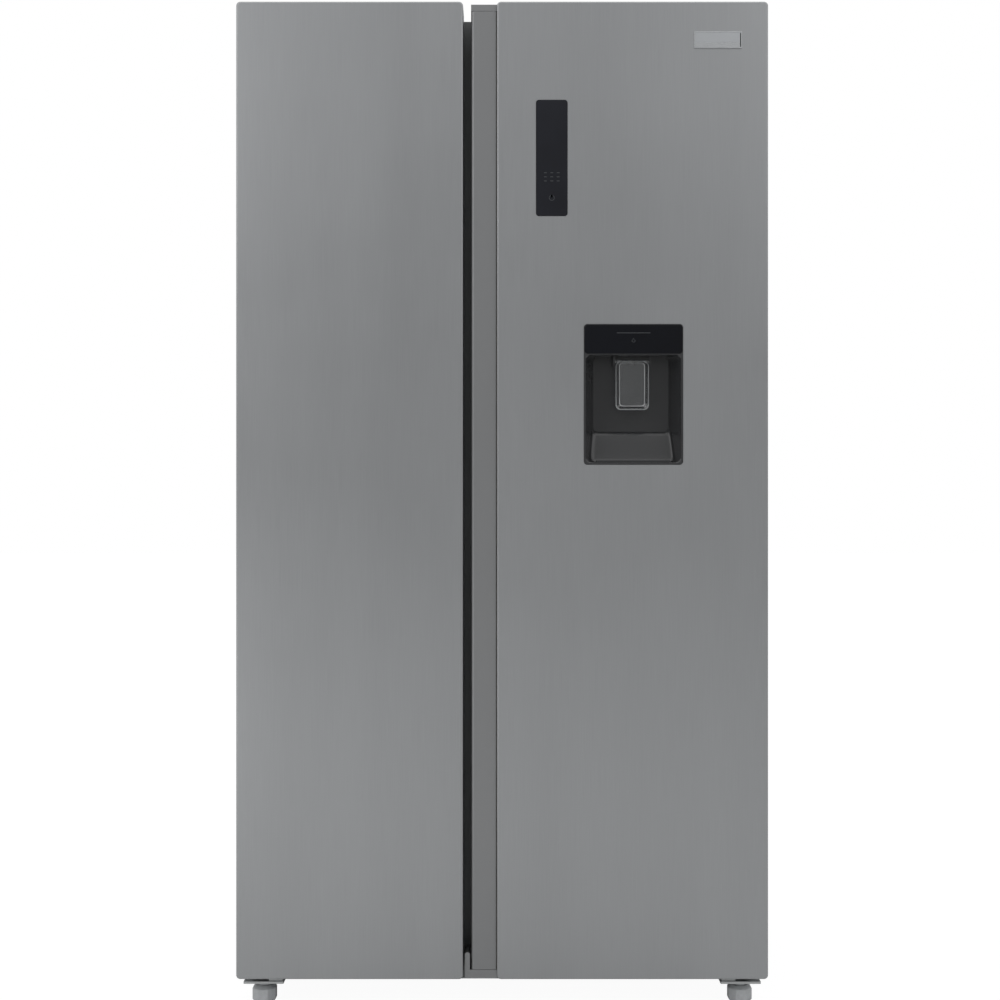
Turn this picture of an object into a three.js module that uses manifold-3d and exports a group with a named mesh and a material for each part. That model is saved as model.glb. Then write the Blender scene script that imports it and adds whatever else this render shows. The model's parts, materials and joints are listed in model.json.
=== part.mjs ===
// A side by side refrigerator as an assembly of separate pieces, in millimetres.
// +Z is up, the doors face -Y, and the origin lies on the floor at the middle of the footprint.
import * as THREE from 'three';
import { mergeVertices } from 'three/addons/utils/BufferGeometryUtils.js';
import Module from 'manifold-3d';

const wasm = await Module();
wasm.setup();

// Overall sizes
const width = 912;
const depth = 700;
const height = 1737;

// Doors
const freezerDoorWidth = 389;
const fingerGap = 13.5;
const stripWidth = 44.5;
const doorThickness = 62;
const doorGroundClearance = 54;
const doorCornerRadius = 7;
const skinThickness = 1;
const capHeight = 14;
const hingeSideInset = 22;
const hingeFrontInset = 35.5;
const gasketThickness = 10.9;
const gasketWidth = 17;
const dykeDepth = 60;
const dykeWall = 11;
const binDepth = 100;
const binHeight = 110;
const plasticWall = 2.5;

// Handle strip of the fridge door
const stripRecess = 8;
const stripTopDrop = 3;
const stripThickness = 2;
const tongueHeight = 30;
const tongueDepth = 40;
const capSideGap = 3;

// Cabinet
const sideReveal = 2;
const coverRise = 7;
const cabinetTopDrop = 10;
const cabinetBottom = 30;
const shellThickness = 1.2;
const sideWall = 62;
const topWall = 60;
const rearWall = 60;
const floorHeight = 120;
const mullionWidth = 60;
const linerThickness = 1.5;
const machineHeight = 244;
const machineDepth = 200;
const machineWall = 40;

// Inside
const shelfFrontSetback = 36;
const shelfThickness = 5;
const shelfTrimHeight = 14;
const ribWidth = 12;
const ribHeight = 6;
const ductDepth = 62;
const drawerHeight = 165;
const lowerDrawerDepth = 270;
const upperDrawerDepth = 350;
const drawerSideGap = 5;

// Dispenser, display and badge in the fridge door, from the door skin's left edge and the door top
const displaySize = { left: 67, drop: 169, width: 54, height: 199 };
const dispenserSize = { left: 149, drop: 553, width: 170, height: 241, depth: 52 };
const badgeSize = { left: 338, drop: 52, width: 82, height: 29 };
const fasciaHeight = 51;
const dispenserBorder = 4;
const cavityTaper = 15;
const paddleSize = { width: 58, height: 84, thickness: 3 };

// Feet and rollers
const footRadius = 22;
const footHeight = 30;
const footSideInset = 41;
const bracketThickness = 4;
const bracketDrop = 9;
const studRadius = 6;
const pinRadius = 5;
const pinClearance = 0.4;
const rollerRadius = 18;
const rollerWidth = 14;
const rollerSideInset = 56;
const rollerRearInset = 36;

const gap = 0.3;
const proud = 0.8;
const badgeProud = 1.5;

// Derived planes
const left = -width / 2;
const right = width / 2;
const doorTop = height - coverRise;
const doorBottom = doorGroundClearance;
const doorFront = -depth / 2 + badgeProud;
const doorBack = doorFront + doorThickness;
const cabinetFront = doorBack + gasketThickness + 2 * gap;
const cabinetBack = depth / 2;
const cabinetTop = doorTop - cabinetTopDrop;
const cabinetLeft = left + sideReveal;
const cabinetRight = right - sideReveal;
const freezerDoorRight = left + freezerDoorWidth;
const stripLeft = freezerDoorRight + fingerGap;
const skinLeft = stripLeft + stripWidth;
const mullionMiddle = freezerDoorRight + fingerGap / 2;
const linerTop = cabinetTop - topWall;
const linerBack = cabinetBack - rearWall;
const machineTop = cabinetBottom + machineHeight;
const machineFront = cabinetBack - machineDepth;
const stepFront = machineFront - machineWall;
const stepTop = machineTop + machineWall;
const innerBack = linerBack - linerThickness;
const innerFloor = floorHeight + linerThickness;
const innerTop = linerTop - linerThickness;
const ductFront = innerBack - ductDepth;
const binBack = doorBack + gap;
const binFront = doorBack + binDepth;
const shelfFront = binFront + shelfFrontSetback;
const hingeY = doorFront + hingeFrontInset;
const hingeX = right - hingeSideInset;
const freezerSpan = [cabinetLeft + sideWall, mullionMiddle - mullionWidth / 2];
const fridgeSpan = [mullionMiddle + mullionWidth / 2, cabinetRight - sideWall];
const freezerInner = [freezerSpan[0] + linerThickness, freezerSpan[1] - linerThickness];
const fridgeInner = [fridgeSpan[0] + linerThickness, fridgeSpan[1] - linerThickness];

// Finishes
const finishes = {
  doorSteel: [0x8f9091, 0.38, 0.9],
  paintedGrey: [0x77797b, 0.5, 0.2],
  galvanised: [0xa8abad, 0.45, 0.8],
  whitePlastic: [0xe9ebec, 0.45, 0],
  foam: [0xd9c98f, 0.95, 0],
  gasketGrey: [0x4a4c4e, 0.8, 0],
  satinSilver: [0x84888a, 0.42, 0.3],
  greyPlastic: [0x5c5f62, 0.55, 0],
  glossBlack: [0x0b0c0e, 0.12, 0],
  darkPlastic: [0x303234, 0.4, 0],
  clearPlastic: [0xdfe8ec, 0.1, 0],
  clearGlass: [0xcfe3e0, 0.08, 0],
  compressorBlack: [0x1b1c1e, 0.5, 0.1],
  copper: [0x4c4e50, 0.4, 0.7],
  aluminium: [0xc2c6c9, 0.35, 0.9],
  footGrey: [0xa3a6aa, 0.5, 0],
  badgeMetal: [0xb9bbbd, 0.3, 0.9],
};

const refrigerator = new THREE.Group();

// Solids

function solidOf(geometry) {
  const bare = geometry.clone();
  bare.deleteAttribute('normal');
  bare.deleteAttribute('uv');
  const merged = mergeVertices(bare, 1e-4);
  const vertProperties = new Float32Array(merged.attributes.position.array);
  const triVerts = new Uint32Array(merged.index.array);
  return new wasm.Manifold(new wasm.Mesh({ numProp: 3, vertProperties, triVerts }));
}

function geometryOf(solid) {
  const mesh = solid.getMesh();
  const geometry = new THREE.BufferGeometry();
  geometry.setAttribute('position', new THREE.BufferAttribute(mesh.vertProperties, 3));
  geometry.setIndex(new THREE.BufferAttribute(mesh.triVerts, 1));
  geometry.computeVertexNormals();
  return geometry;
}

function addPiece(name, finish, solid) {
  const [color, roughness, metalness] = finishes[finish];
  const material = new THREE.MeshStandardMaterial({ color, roughness, metalness, flatShading: true });
  const mesh = new THREE.Mesh(geometryOf(solid), material);
  mesh.name = name;
  refrigerator.add(mesh);
}

function block([x0, x1], [y0, y1], [z0, z1]) {
  const box = new THREE.BoxGeometry(x1 - x0, y1 - y0, z1 - z0);
  box.translate((x0 + x1) / 2, (y0 + y1) / 2, (z0 + z1) / 2);
  return solidOf(box);
}

function joined(solids) {
  return solids.reduce((whole, solid) => whole.add(solid));
}

function without(solid, cutters) {
  return cutters.reduce((rest, cutter) => rest.subtract(cutter), solid);
}

// A rod along one axis, from its low end to its high end
function rod(axis, [a, b], radius, [p, q], segments = 24) {
  const cylinder = new THREE.CylinderGeometry(radius, radius, b - a, segments);
  if (axis === 'x') cylinder.rotateZ(-Math.PI / 2).translate((a + b) / 2, p, q);
  if (axis === 'y') cylinder.translate(p, (a + b) / 2, q);
  if (axis === 'z') cylinder.rotateX(Math.PI / 2).translate(p, q, (a + b) / 2);
  return solidOf(cylinder);
}

// A plate in the XZ plane with round corners
function roundedPlate([x0, x1], [y0, y1], [z0, z1], radius) {
  const shape = new THREE.Shape();
  shape.moveTo(x0 + radius, z0);
  shape.lineTo(x1 - radius, z0);
  shape.absarc(x1 - radius, z0 + radius, radius, -Math.PI / 2, 0);
  shape.lineTo(x1, z1 - radius);
  shape.absarc(x1 - radius, z1 - radius, radius, 0, Math.PI / 2);
  shape.lineTo(x0 + radius, z1);
  shape.absarc(x0 + radius, z1 - radius, radius, Math.PI / 2, Math.PI);
  shape.lineTo(x0, z0 + radius);
  shape.absarc(x0 + radius, z0 + radius, radius, Math.PI, 1.5 * Math.PI);
  const plate = new THREE.ExtrudeGeometry(shape, { depth: y1 - y0, bevelEnabled: false, curveSegments: 5 });
  plate.rotateX(Math.PI / 2).translate(0, y1, 0);
  return solidOf(plate);
}

// An outline of [y, z] points run along X
function sideProfile([x0, x1], points) {
  const shape = new THREE.Shape(points.map(([y, z]) => new THREE.Vector2(y, z)));
  const prism = new THREE.ExtrudeGeometry(shape, { depth: x1 - x0, bevelEnabled: false });
  prism.applyMatrix4(new THREE.Matrix4().set(0, 0, 1, x0, 1, 0, 0, 0, 0, 1, 0, 0, 0, 0, 0, 1));
  return solidOf(prism);
}

// An outline of [x, y] points run along Z
function planProfile([z0, z1], points) {
  const shape = new THREE.Shape(points.map(([x, y]) => new THREE.Vector2(x, y)));
  const prism = new THREE.ExtrudeGeometry(shape, { depth: z1 - z0, bevelEnabled: false });
  prism.translate(0, 0, z0);
  return solidOf(prism);
}

function shrink([low, high], amount) {
  return [low + amount, high - amount];
}

// A rectangular frame in the XZ plane
function frame(xs, ys, zs, border) {
  return block(xs, ys, zs).subtract(block(shrink(xs, border), shrink(ys, -1), shrink(zs, border)));
}

function mirroredX([x0, x1]) {
  return [-x1, -x0];
}

// How far from its hinge a door piece may reach and still swing past the cabinet's front edge
function reachPastWall(wallDistance, inward) {
  const clearance = 6;
  const alongDoor = inward - hingeY;
  const atFront = cabinetFront - hingeY;
  return Math.sqrt((wallDistance - clearance) ** 2 + atFront ** 2 - alongDoor ** 2);
}

// Cabinet

const sideSheet = shellThickness + gap;

function addCabinetShell() {
  const outer = block([cabinetLeft, cabinetRight], [cabinetFront, cabinetBack], [cabinetBottom, cabinetTop]);
  const inside = block(
    shrink([cabinetLeft, cabinetRight], shellThickness),
    [cabinetFront + shellThickness, cabinetBack + 1],
    [cabinetBottom - 1, cabinetTop - shellThickness],
  );
  const mouth = block(
    [freezerSpan[0], fridgeSpan[1]],
    [cabinetFront - 1, cabinetFront + shellThickness + 1],
    [cabinetBottom - 1, linerTop],
  );
  addPiece('cabinet_shell', 'paintedGrey', without(outer, [inside, mouth]));
}

function addFrontStrips() {
  const ys = [cabinetFront, cabinetFront + shellThickness];
  const mullion = [freezerSpan[1], fridgeSpan[0]];
  addPiece('mullion_strip', 'paintedGrey', block(mullion, ys, [floorHeight, linerTop - gap]));
  const rail = block(
    shrink([freezerSpan[0], fridgeSpan[1]], gap),
    ys,
    [cabinetBottom + 2, floorHeight - gap],
  );
  addPiece('base_front_rail', 'paintedGrey', rail);
}

function linerOutline(inset) {
  const front = cabinetFront + sideSheet;
  return [
    [front, floorHeight + inset],
    [stepFront - inset, floorHeight + inset],
    [stepFront - inset, stepTop + inset],
    [linerBack - inset, stepTop + inset],
    [linerBack - inset, linerTop - inset],
    [front, linerTop - inset],
  ];
}

// Side rails moulded in the liner walls, on which a shelf or a drawer rests
function sideRibs([x0, x1], y1, z) {
  const ys = [shelfFront, y1];
  const zs = [z - ribHeight - gap, z - gap];
  const near = block([x0 - linerThickness / 2, x0 + ribWidth], ys, zs);
  const far = block([x1 - ribWidth, x1 + linerThickness / 2], ys, zs);
  return near.add(far);
}

function linerWith(span, ribs) {
  const hollow = sideProfile(shrink(span, linerThickness), linerOutline(linerThickness));
  const mouth = block(
    shrink(span, linerThickness),
    [cabinetFront, cabinetFront + sideSheet + 1],
    [innerFloor, innerTop],
  );
  return joined([without(sideProfile(span, linerOutline(0)), [hollow, mouth]), ...ribs]);
}

// Drawers stack from the compartment floor, and shelves share the height that is left
const lowerDrawerBase = innerFloor + gap;
const upperDrawerBase = Math.max(lowerDrawerBase + drawerHeight + 18, stepTop + linerThickness + 6);
const drawerTop = upperDrawerBase + drawerHeight;
const lowestShelf = drawerTop + 12;
const shelfRoom = innerTop - lowestShelf;
const freezerShelves = [0, 1 / 3].map((share) => lowestShelf + share * shelfRoom);
const fridgeShelves = [0, 1 / 4, 1 / 2, 3 / 4].map((share) => lowestShelf + share * shelfRoom);
const lowerDrawerBack = Math.min(shelfFront + lowerDrawerDepth, stepFront - 2 * linerThickness - 6);
const upperDrawerBack = Math.min(shelfFront + upperDrawerDepth, ductFront - 10);

function addLiners() {
  const freezerLevels = freezerShelves.map((z) => sideRibs(freezerInner, ductFront, z));
  const freezerRunner = sideRibs(freezerInner, upperDrawerBack, upperDrawerBase);
  addPiece('freezer_liner', 'whitePlastic', linerWith(freezerSpan, [...freezerLevels, freezerRunner]));
  const fridgeLevels = fridgeShelves.map((z) => sideRibs(fridgeInner, ductFront, z));
  const fridgeRunner = sideRibs(fridgeInner, upperDrawerBack, upperDrawerBase);
  addPiece('fridge_liner', 'whitePlastic', linerWith(fridgeSpan, [...fridgeLevels, fridgeRunner]));
}

const panSpan = shrink([cabinetLeft, cabinetRight], sideSheet);
const panTop = cabinetBottom + shellThickness;

function addCabinetFoam() {
  const front = cabinetFront + sideSheet;
  const back = cabinetBack - sideSheet;
  const outline = [
    [front, panTop + gap],
    [machineFront, panTop + gap],
    [machineFront, machineTop],
    [back, machineTop],
    [back, cabinetTop - sideSheet],
    [front, cabinetTop - sideSheet],
  ];
  const pocket = (span) => sideProfile([span[0] - gap, span[1] + gap], linerOutline(-gap));
  const mouth = (span) => block(
    [span[0] - gap, span[1] + gap],
    [front - 1, front + 1],
    [floorHeight - gap, linerTop + gap],
  );
  const pockets = [freezerSpan, fridgeSpan].flatMap((span) => [pocket(span), mouth(span)]);
  addPiece('cabinet_foam', 'foam', without(sideProfile(panSpan, outline), pockets));
}

const rollerY = cabinetBack - rollerRearInset;
const rollerXs = [left + rollerSideInset, right - rollerSideInset];
const earThickness = 2;
const rollerAxleRadius = 4;

function rollerEars(x) {
  const sides = [-1, 1].map((side) => {
    const inner = x + side * (rollerWidth / 2 + 1);
    const xs = [inner, inner + side * earThickness].sort((a, b) => a - b);
    const ear = block(xs, [rollerY - 9, rollerY + 9], [rollerRadius - 9, panTop - gap / 2]);
    return ear;
  });
  return sides[0].add(sides[1]);
}

function addBasePan() {
  const plate = block(panSpan, [cabinetFront + sideSheet, cabinetBack - sideSheet], [cabinetBottom, panTop]);
  const pieces = [plate, ...rollerXs.map(rollerEars)];
  const slots = rollerXs.map((x) => block(
    [x - rollerWidth / 2 - 1, x + rollerWidth / 2 + 1],
    [rollerY - rollerRadius - 2, rollerY + rollerRadius + 2],
    [cabinetBottom - 1, panTop + 1],
  ));
  const holes = rollerXs.map((x) => rod(
    'x', [x - rollerWidth, x + rollerWidth], rollerAxleRadius + pinClearance, [rollerY, rollerRadius], 16));
  addPiece('base_pan', 'galvanised', without(joined(pieces), [...slots, ...holes]));
}

function addRollers() {
  ['left', 'right'].forEach((side, index) => {
    const x = rollerXs[index];
    const wheel = rod('x', [x - rollerWidth / 2, x + rollerWidth / 2], rollerRadius, [rollerY, rollerRadius], 32);
    const reach = rollerWidth / 2 + 1 + earThickness;
    const axle = rod('x', [x - reach, x + reach], rollerAxleRadius, [rollerY, rollerRadius], 16);
    addPiece(`rear_roller_${side}`, 'greyPlastic', wheel.add(axle));
  });
}

function addBackPanels() {
  const ys = [cabinetBack - shellThickness, cabinetBack];
  const xs = panSpan;
  addPiece('back_panel', 'galvanised', block(xs, ys, [machineTop + gap, cabinetTop - sideSheet]));
  const louvreHeight = 6;
  const louvrePitch = 18;
  const louvreRows = Math.floor((machineHeight - 80) / louvrePitch);
  const louvres = [];
  for (let row = 0; row < louvreRows; row += 1) {
    const z = panTop + 40 + row * louvrePitch;
    for (const column of [-1, 0, 1]) {
      const middle = column * (width / 3.6);
      louvres.push(block([middle - width / 9, middle + width / 9], shrink(ys, -1), [z, z + louvreHeight]));
    }
  }
  const cover = block(xs, ys, [panTop + gap, machineTop]);
  addPiece('machine_cover', 'galvanised', without(cover, louvres));
}

function addCoolingParts() {
  const floor = panTop + gap;
  const domeProfile = [[0, 0], [74, 0], [74, 95], [66, 125], [40, 142], [0, 146]];
  const dome = new THREE.LatheGeometry(domeProfile.map(([r, z]) => new THREE.Vector2(r, z)), 32);
  dome.rotateX(Math.PI / 2).translate(left + 300, machineFront + 96, floor + 8);
  const feet = block([left + 205, left + 395], [machineFront + 66, machineFront + 126], [floor, floor + 9]);
  addPiece('compressor', 'compressorBlack', solidOf(dome).add(feet));

  const tubeRadius = 3;
  const runs = 7;
  const pitch = 26;
  const coilLeft = mullionMiddle + 60;
  const coilRight = coilLeft + 300;
  const coilFloor = floor + 20;
  const coil = new THREE.CurvePath();
  const at = (x, z) => new THREE.Vector3(x, machineFront + 120, z);
  for (let run = 0; run < runs; run += 1) {
    const z = coilFloor + run * pitch;
    const [from, to] = run % 2 ? [coilRight, coilLeft] : [coilLeft, coilRight];
    coil.add(new THREE.LineCurve3(at(from, z), at(to, z)));
    if (run === runs - 1) break;
    const bulge = (Math.sign(to - from) * pitch * 2) / 3;
    const next = z + pitch;
    coil.add(new THREE.CubicBezierCurve3(at(to, z), at(to + bulge, z), at(to + bulge, next), at(to, next)));
  }
  const ring = new THREE.Shape();
  ring.absarc(0, 0, tubeRadius, 0, 2 * Math.PI);
  const steps = (2 * runs - 1) * 6;
  const tube = new THREE.ExtrudeGeometry(ring, { steps, curveSegments: 5, extrudePath: coil });
  addPiece('condenser_coil', 'copper', solidOf(tube));

  const evaporatorX = [freezerInner[0] + 20, freezerInner[1] - 20];
  const evaporatorZ = [stepTop + 130, stepTop + 360];
  const evaporatorY = [ductFront + 10, innerBack - 6];
  const finCount = 12;
  const finPitch = (evaporatorX[1] - evaporatorX[0] - 2) / (finCount - 1);
  const fins = [];
  for (let fin = 0; fin < finCount; fin += 1) {
    const x = evaporatorX[0] + fin * finPitch;
    fins.push(block([x, x + 2], evaporatorY, evaporatorZ));
  }
  const tubeY = (evaporatorY[0] + evaporatorY[1]) / 2;
  const tubeRows = [0.2, 0.5, 0.8].map((share) => evaporatorZ[0] + share * (evaporatorZ[1] - evaporatorZ[0]));
  const tubes = tubeRows.map((z) => rod('x', evaporatorX, 5, [tubeY, z], 8));
  addPiece('evaporator', 'aluminium', joined([...fins, ...tubes]));
}

const fanX = (freezerInner[0] + freezerInner[1]) / 2;
const fanZ = stepTop + 470;
const fanRadius = 52;
const ductSheet = 2;

function addAirDuct() {
  const xs = shrink(freezerInner, ribWidth / 4);
  const zs = [stepTop + linerThickness + gap, innerTop - gap];
  const plate = block(xs, [ductFront, ductFront + ductSheet], zs);
  const grille = [];
  for (let row = -3; row <= 3; row += 1) {
    const half = Math.sqrt(fanRadius ** 2 - (row * 14) ** 2) - 2;
    const z = fanZ + row * 14;
    grille.push(block([fanX - half, fanX + half], [ductFront - 1, ductFront + ductSheet + 1], [z - 4, z + 4]));
  }
  for (const share of [0.62, 0.78, 0.94]) {
    const z = zs[0] + share * (zs[1] - zs[0]);
    const slot = [fanX - 80, fanX + 80];
    grille.push(block(slot, [ductFront - 1, ductFront + ductSheet + 1], [z - 5, z + 5]));
  }
  const mount = rod('y', [ductFront + 48, innerBack - gap], 8, [fanX, fanZ], 16);
  const bridge = block([fanX - 70, fanX + 70], [ductFront + 46, ductFront + 49], [fanZ - 8, fanZ + 8]);
  const posts = [-66, 66].map((x) => block(
    [fanX + x - 4, fanX + x + 4], [ductFront + 1, ductFront + 49], [fanZ - 8, fanZ + 8]));
  addPiece('freezer_air_duct', 'whitePlastic', without(joined([plate, mount, bridge, ...posts]), grille));
}

function addEvaporatorFan() {
  const hubY = [ductFront + 12, ductFront + 40];
  const hub = rod('y', hubY, 15, [fanX, fanZ], 24);
  const blades = [];
  for (let blade = 0; blade < 5; blade += 1) {
    const paddle = new THREE.BoxGeometry(24, 2, fanRadius - 14);
    paddle.rotateZ(0.55).translate(0, 0, (fanRadius + 10) / 2).rotateY((blade * 2 * Math.PI) / 5);
    paddle.translate(fanX, (hubY[0] + hubY[1]) / 2, fanZ);
    blades.push(solidOf(paddle));
  }
  addPiece('evaporator_fan', 'greyPlastic', joined([hub, ...blades]));
}

function addShelf(name, finish, inner, z) {
  const xs = shrink(inner, 1.5);
  const glass = block(xs, [shelfFront + 4, ductFront - 6], [z, z + shelfThickness]);
  const trim = (y0) => block(xs, [y0, y0 + 16], [z, z + shelfTrimHeight]);
  addPiece(name, finish, joined([glass, trim(shelfFront), trim(ductFront - 22)]));
}

function addShelves() {
  freezerShelves.forEach((z, index) => addShelf(`freezer_shelf_${index + 1}`, 'clearGlass', freezerInner, z));
  fridgeShelves.forEach((z, index) => {
    const name = index ? `fridge_shelf_${index}` : 'crisper_cover';
    addShelf(name, 'clearGlass', fridgeInner, z);
  });
}

function openBox(xs, ys, zs, wall) {
  return block(xs, ys, zs).subtract(block(shrink(xs, wall), shrink(ys, wall), [zs[0] + wall, zs[1] + 1]));
}

function addDrawer(name, inner, z, back) {
  const xs = shrink(inner, drawerSideGap);
  const zs = [z, z + drawerHeight];
  const tray = openBox(xs, [shelfFront, back], zs, plasticWall);
  const grip = block(shrink(xs, 40), [shelfFront - 8, shelfFront + 1], [zs[1] - 22, zs[1]]);
  const scoop = block(shrink(xs, 42), [shelfFront - 6, shelfFront - 1], [zs[1] - 23, zs[1] - 4]);
  addPiece(name, 'clearPlastic', tray.add(grip).subtract(scoop));
}

function addDrawers() {
  addDrawer('freezer_drawer_1', freezerInner, lowerDrawerBase, lowerDrawerBack);
  addDrawer('freezer_drawer_2', freezerInner, upperDrawerBase, upperDrawerBack);
  addDrawer('crisper_drawer_1', fridgeInner, lowerDrawerBase, lowerDrawerBack);
  addDrawer('crisper_drawer_2', fridgeInner, upperDrawerBase, upperDrawerBack);
}

// Hinges

const bracketTop = doorBottom - bracketDrop;
const bracketBottom = bracketTop - bracketThickness;
const footX = right - footSideInset;
const footY = cabinetFront - footRadius - 1;
const topPlateBottom = doorTop + 1;
const topPlateTop = topPlateBottom + bracketThickness;

function addTopHinge(side, sign) {
  const place = (xs) => (sign > 0 ? xs : mirroredX(xs));
  const x = sign * hingeX;
  const plateX = place([hingeX - 30, cabinetRight - 4]);
  const arm = block(plateX, [hingeY - 8.5, cabinetFront + 90], [topPlateBottom, topPlateTop]);
  const base = block(plateX, [cabinetFront + 12, cabinetFront + 90], [cabinetTop + gap, topPlateBottom + 1]);
  const pin = rod('z', [doorTop - capHeight + 3, topPlateBottom + 1], pinRadius, [x, hingeY], 20);
  addPiece(`hinge_top_${side}`, 'galvanised', joined([arm, base, pin]));

  const coverX = place([hingeX - 34, cabinetRight]);
  const coverY = [hingeY - 11, cabinetFront + 96];
  const overDoor = block(coverX, [coverY[0], cabinetFront + 1], [topPlateBottom, height]);
  const overTop = block(coverX, [cabinetFront, coverY[1]], [cabinetTop + gap, height]);
  const room = block(
    shrink(plateX, -1),
    [hingeY - 9, cabinetFront + 91],
    [cabinetTop, topPlateTop + gap],
  );
  addPiece(`hinge_cover_${side}`, 'greyPlastic', overDoor.add(overTop).subtract(room));
}

function addBottomHinge(side, sign) {
  const place = (xs) => (sign > 0 ? xs : mirroredX(xs));
  const x = sign * hingeX;
  const plateX = place([footX - 38, right - 10]);
  const plate = block(plateX, [hingeY - 20, cabinetFront - gap], [bracketBottom, bracketTop]);
  const tab = block(plateX, [cabinetFront - 3, cabinetFront - gap], [bracketBottom, doorBottom - 1]);
  const spacer = block(place([footX - 36, footX - 12]), [hingeY - 16, hingeY + 14], [bracketTop - 1, doorBottom - 2]);
  const pin = rod('z', [bracketBottom, doorBottom + capHeight - 3], pinRadius, [x, hingeY], 20);
  const collar = rod('z', [bracketTop - 1, doorBottom - 1], pinRadius + 3, [x, hingeY], 20);
  const studHole = rod(
    'z', [bracketBottom - 1, doorBottom + 1], studRadius + pinClearance, [sign * footX, footY], 20);
  addPiece(`hinge_bottom_${side}`, 'galvanised', without(joined([plate, tab, spacer, pin, collar]), [studHole]));
}

function addFoot(side, sign) {
  const knob = new THREE.LatheGeometry(
    [[0, 0], [17, 0], [footRadius, 6], [footRadius, footHeight - 5], [15, footHeight], [0, footHeight]]
      .map(([r, z]) => new THREE.Vector2(r, z)), 8);
  knob.rotateX(Math.PI / 2).rotateZ(Math.PI / 8).translate(sign * footX, footY, 0);
  const neck = rod('z', [footHeight - 1, bracketBottom - gap], studRadius + 4, [sign * footX, footY], 20);
  const stud = rod('z', [footHeight - 1, doorBottom - 3], studRadius, [sign * footX, footY], 20);
  addPiece(`front_foot_${side}`, 'footGrey', joined([solidOf(knob), neck, stud]));
}

// Doors

const capInnerTop = doorTop - capHeight;
const capInnerBottom = doorBottom + capHeight;
const skinInside = doorFront + skinThickness;
const linerPlateFront = doorBack - 3.5;
const skinReturnEnd = linerPlateFront - gap;

function steelSkin(xs, leftReturn, rightReturn) {
  const tray = roundedPlate(xs, [doorFront, skinReturnEnd], [doorBottom, doorTop], doorCornerRadius);
  const inner = roundedPlate(
    shrink(xs, skinThickness),
    [skinInside, skinReturnEnd + 1],
    shrink([doorBottom, doorTop], skinThickness),
    doorCornerRadius - skinThickness,
  );
  const cutLeft = block([xs[0] - 1, xs[0] + 20], [leftReturn, skinReturnEnd + 1], [doorBottom - 1, doorTop + 1]);
  const cutRight = block([xs[1] - 20, xs[1] + 1], [rightReturn, skinReturnEnd + 1], [doorBottom - 1, doorTop + 1]);
  return without(tray, [inner, cutLeft, cutRight]);
}

// Room for both hinge pins where they pass the folded edges of a skin
function skinPinHoles(x) {
  return [doorTop, doorBottom].map((z) => rod('z', [z - 3, z + 3], pinRadius + 5, [x, hingeY], 20));
}

// The pocket in a door cap that turns on a hinge pin
function pinPocket(x) {
  return rod('z', [capInnerTop + 1, doorTop + 1], pinRadius + pinClearance, [x, hingeY], 20);
}

function lowerPinPocket(x) {
  return rod('z', [doorBottom - 1, capInnerBottom - 1], pinRadius + pinClearance, [x, hingeY], 20);
}

function gasketRing(xs) {
  const outer = [doorBack + gap, cabinetFront - gap];
  const zs = [floorHeight - 18 - gasketWidth, linerTop + 20 + gasketWidth];
  return frame(xs, outer, zs, gasketWidth);
}

const gasketSeat = 8;
const dykeFloor = innerFloor + 6;
const dykeTop = innerTop - 6;

// The inner door panel: a plate with a raised wall round the bins
function doorLiner(plateX, dykeX, cutters) {
  const plate = block(plateX, [linerPlateFront, doorBack], [capInnerBottom + gap, capInnerTop - gap]);
  const dykes = frame(dykeX, [doorBack - 1, doorBack + dykeDepth], [dykeFloor, dykeTop], dykeWall);
  return without(plate.add(dykes), cutters);
}

function addBin(name, xs, z) {
  const bin = openBox(xs, [binBack, binFront], [z, z + binHeight], plasticWall);
  addPiece(name, 'clearPlastic', bin);
}

// Freezer door
const freezerDoorX = [left, freezerDoorRight];
const freezerBodyX = shrink(freezerDoorX, skinThickness + gap);
const freezerDykeX = [
  freezerInner[0] + 8,
  -hingeX + reachPastWall(freezerInner[1] + hingeX, doorBack + dykeDepth) - 2,
];
const freezerBinX = [
  freezerDykeX[0] + dykeWall + gap,
  Math.min(freezerDykeX[1] - dykeWall - gap, -hingeX + reachPastWall(freezerInner[1] + hingeX, binFront)),
];
const freezerGasketX = [freezerSpan[0] - gasketSeat - gasketWidth - 6, freezerSpan[1] + gasketSeat + gasketWidth - 5];

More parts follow.
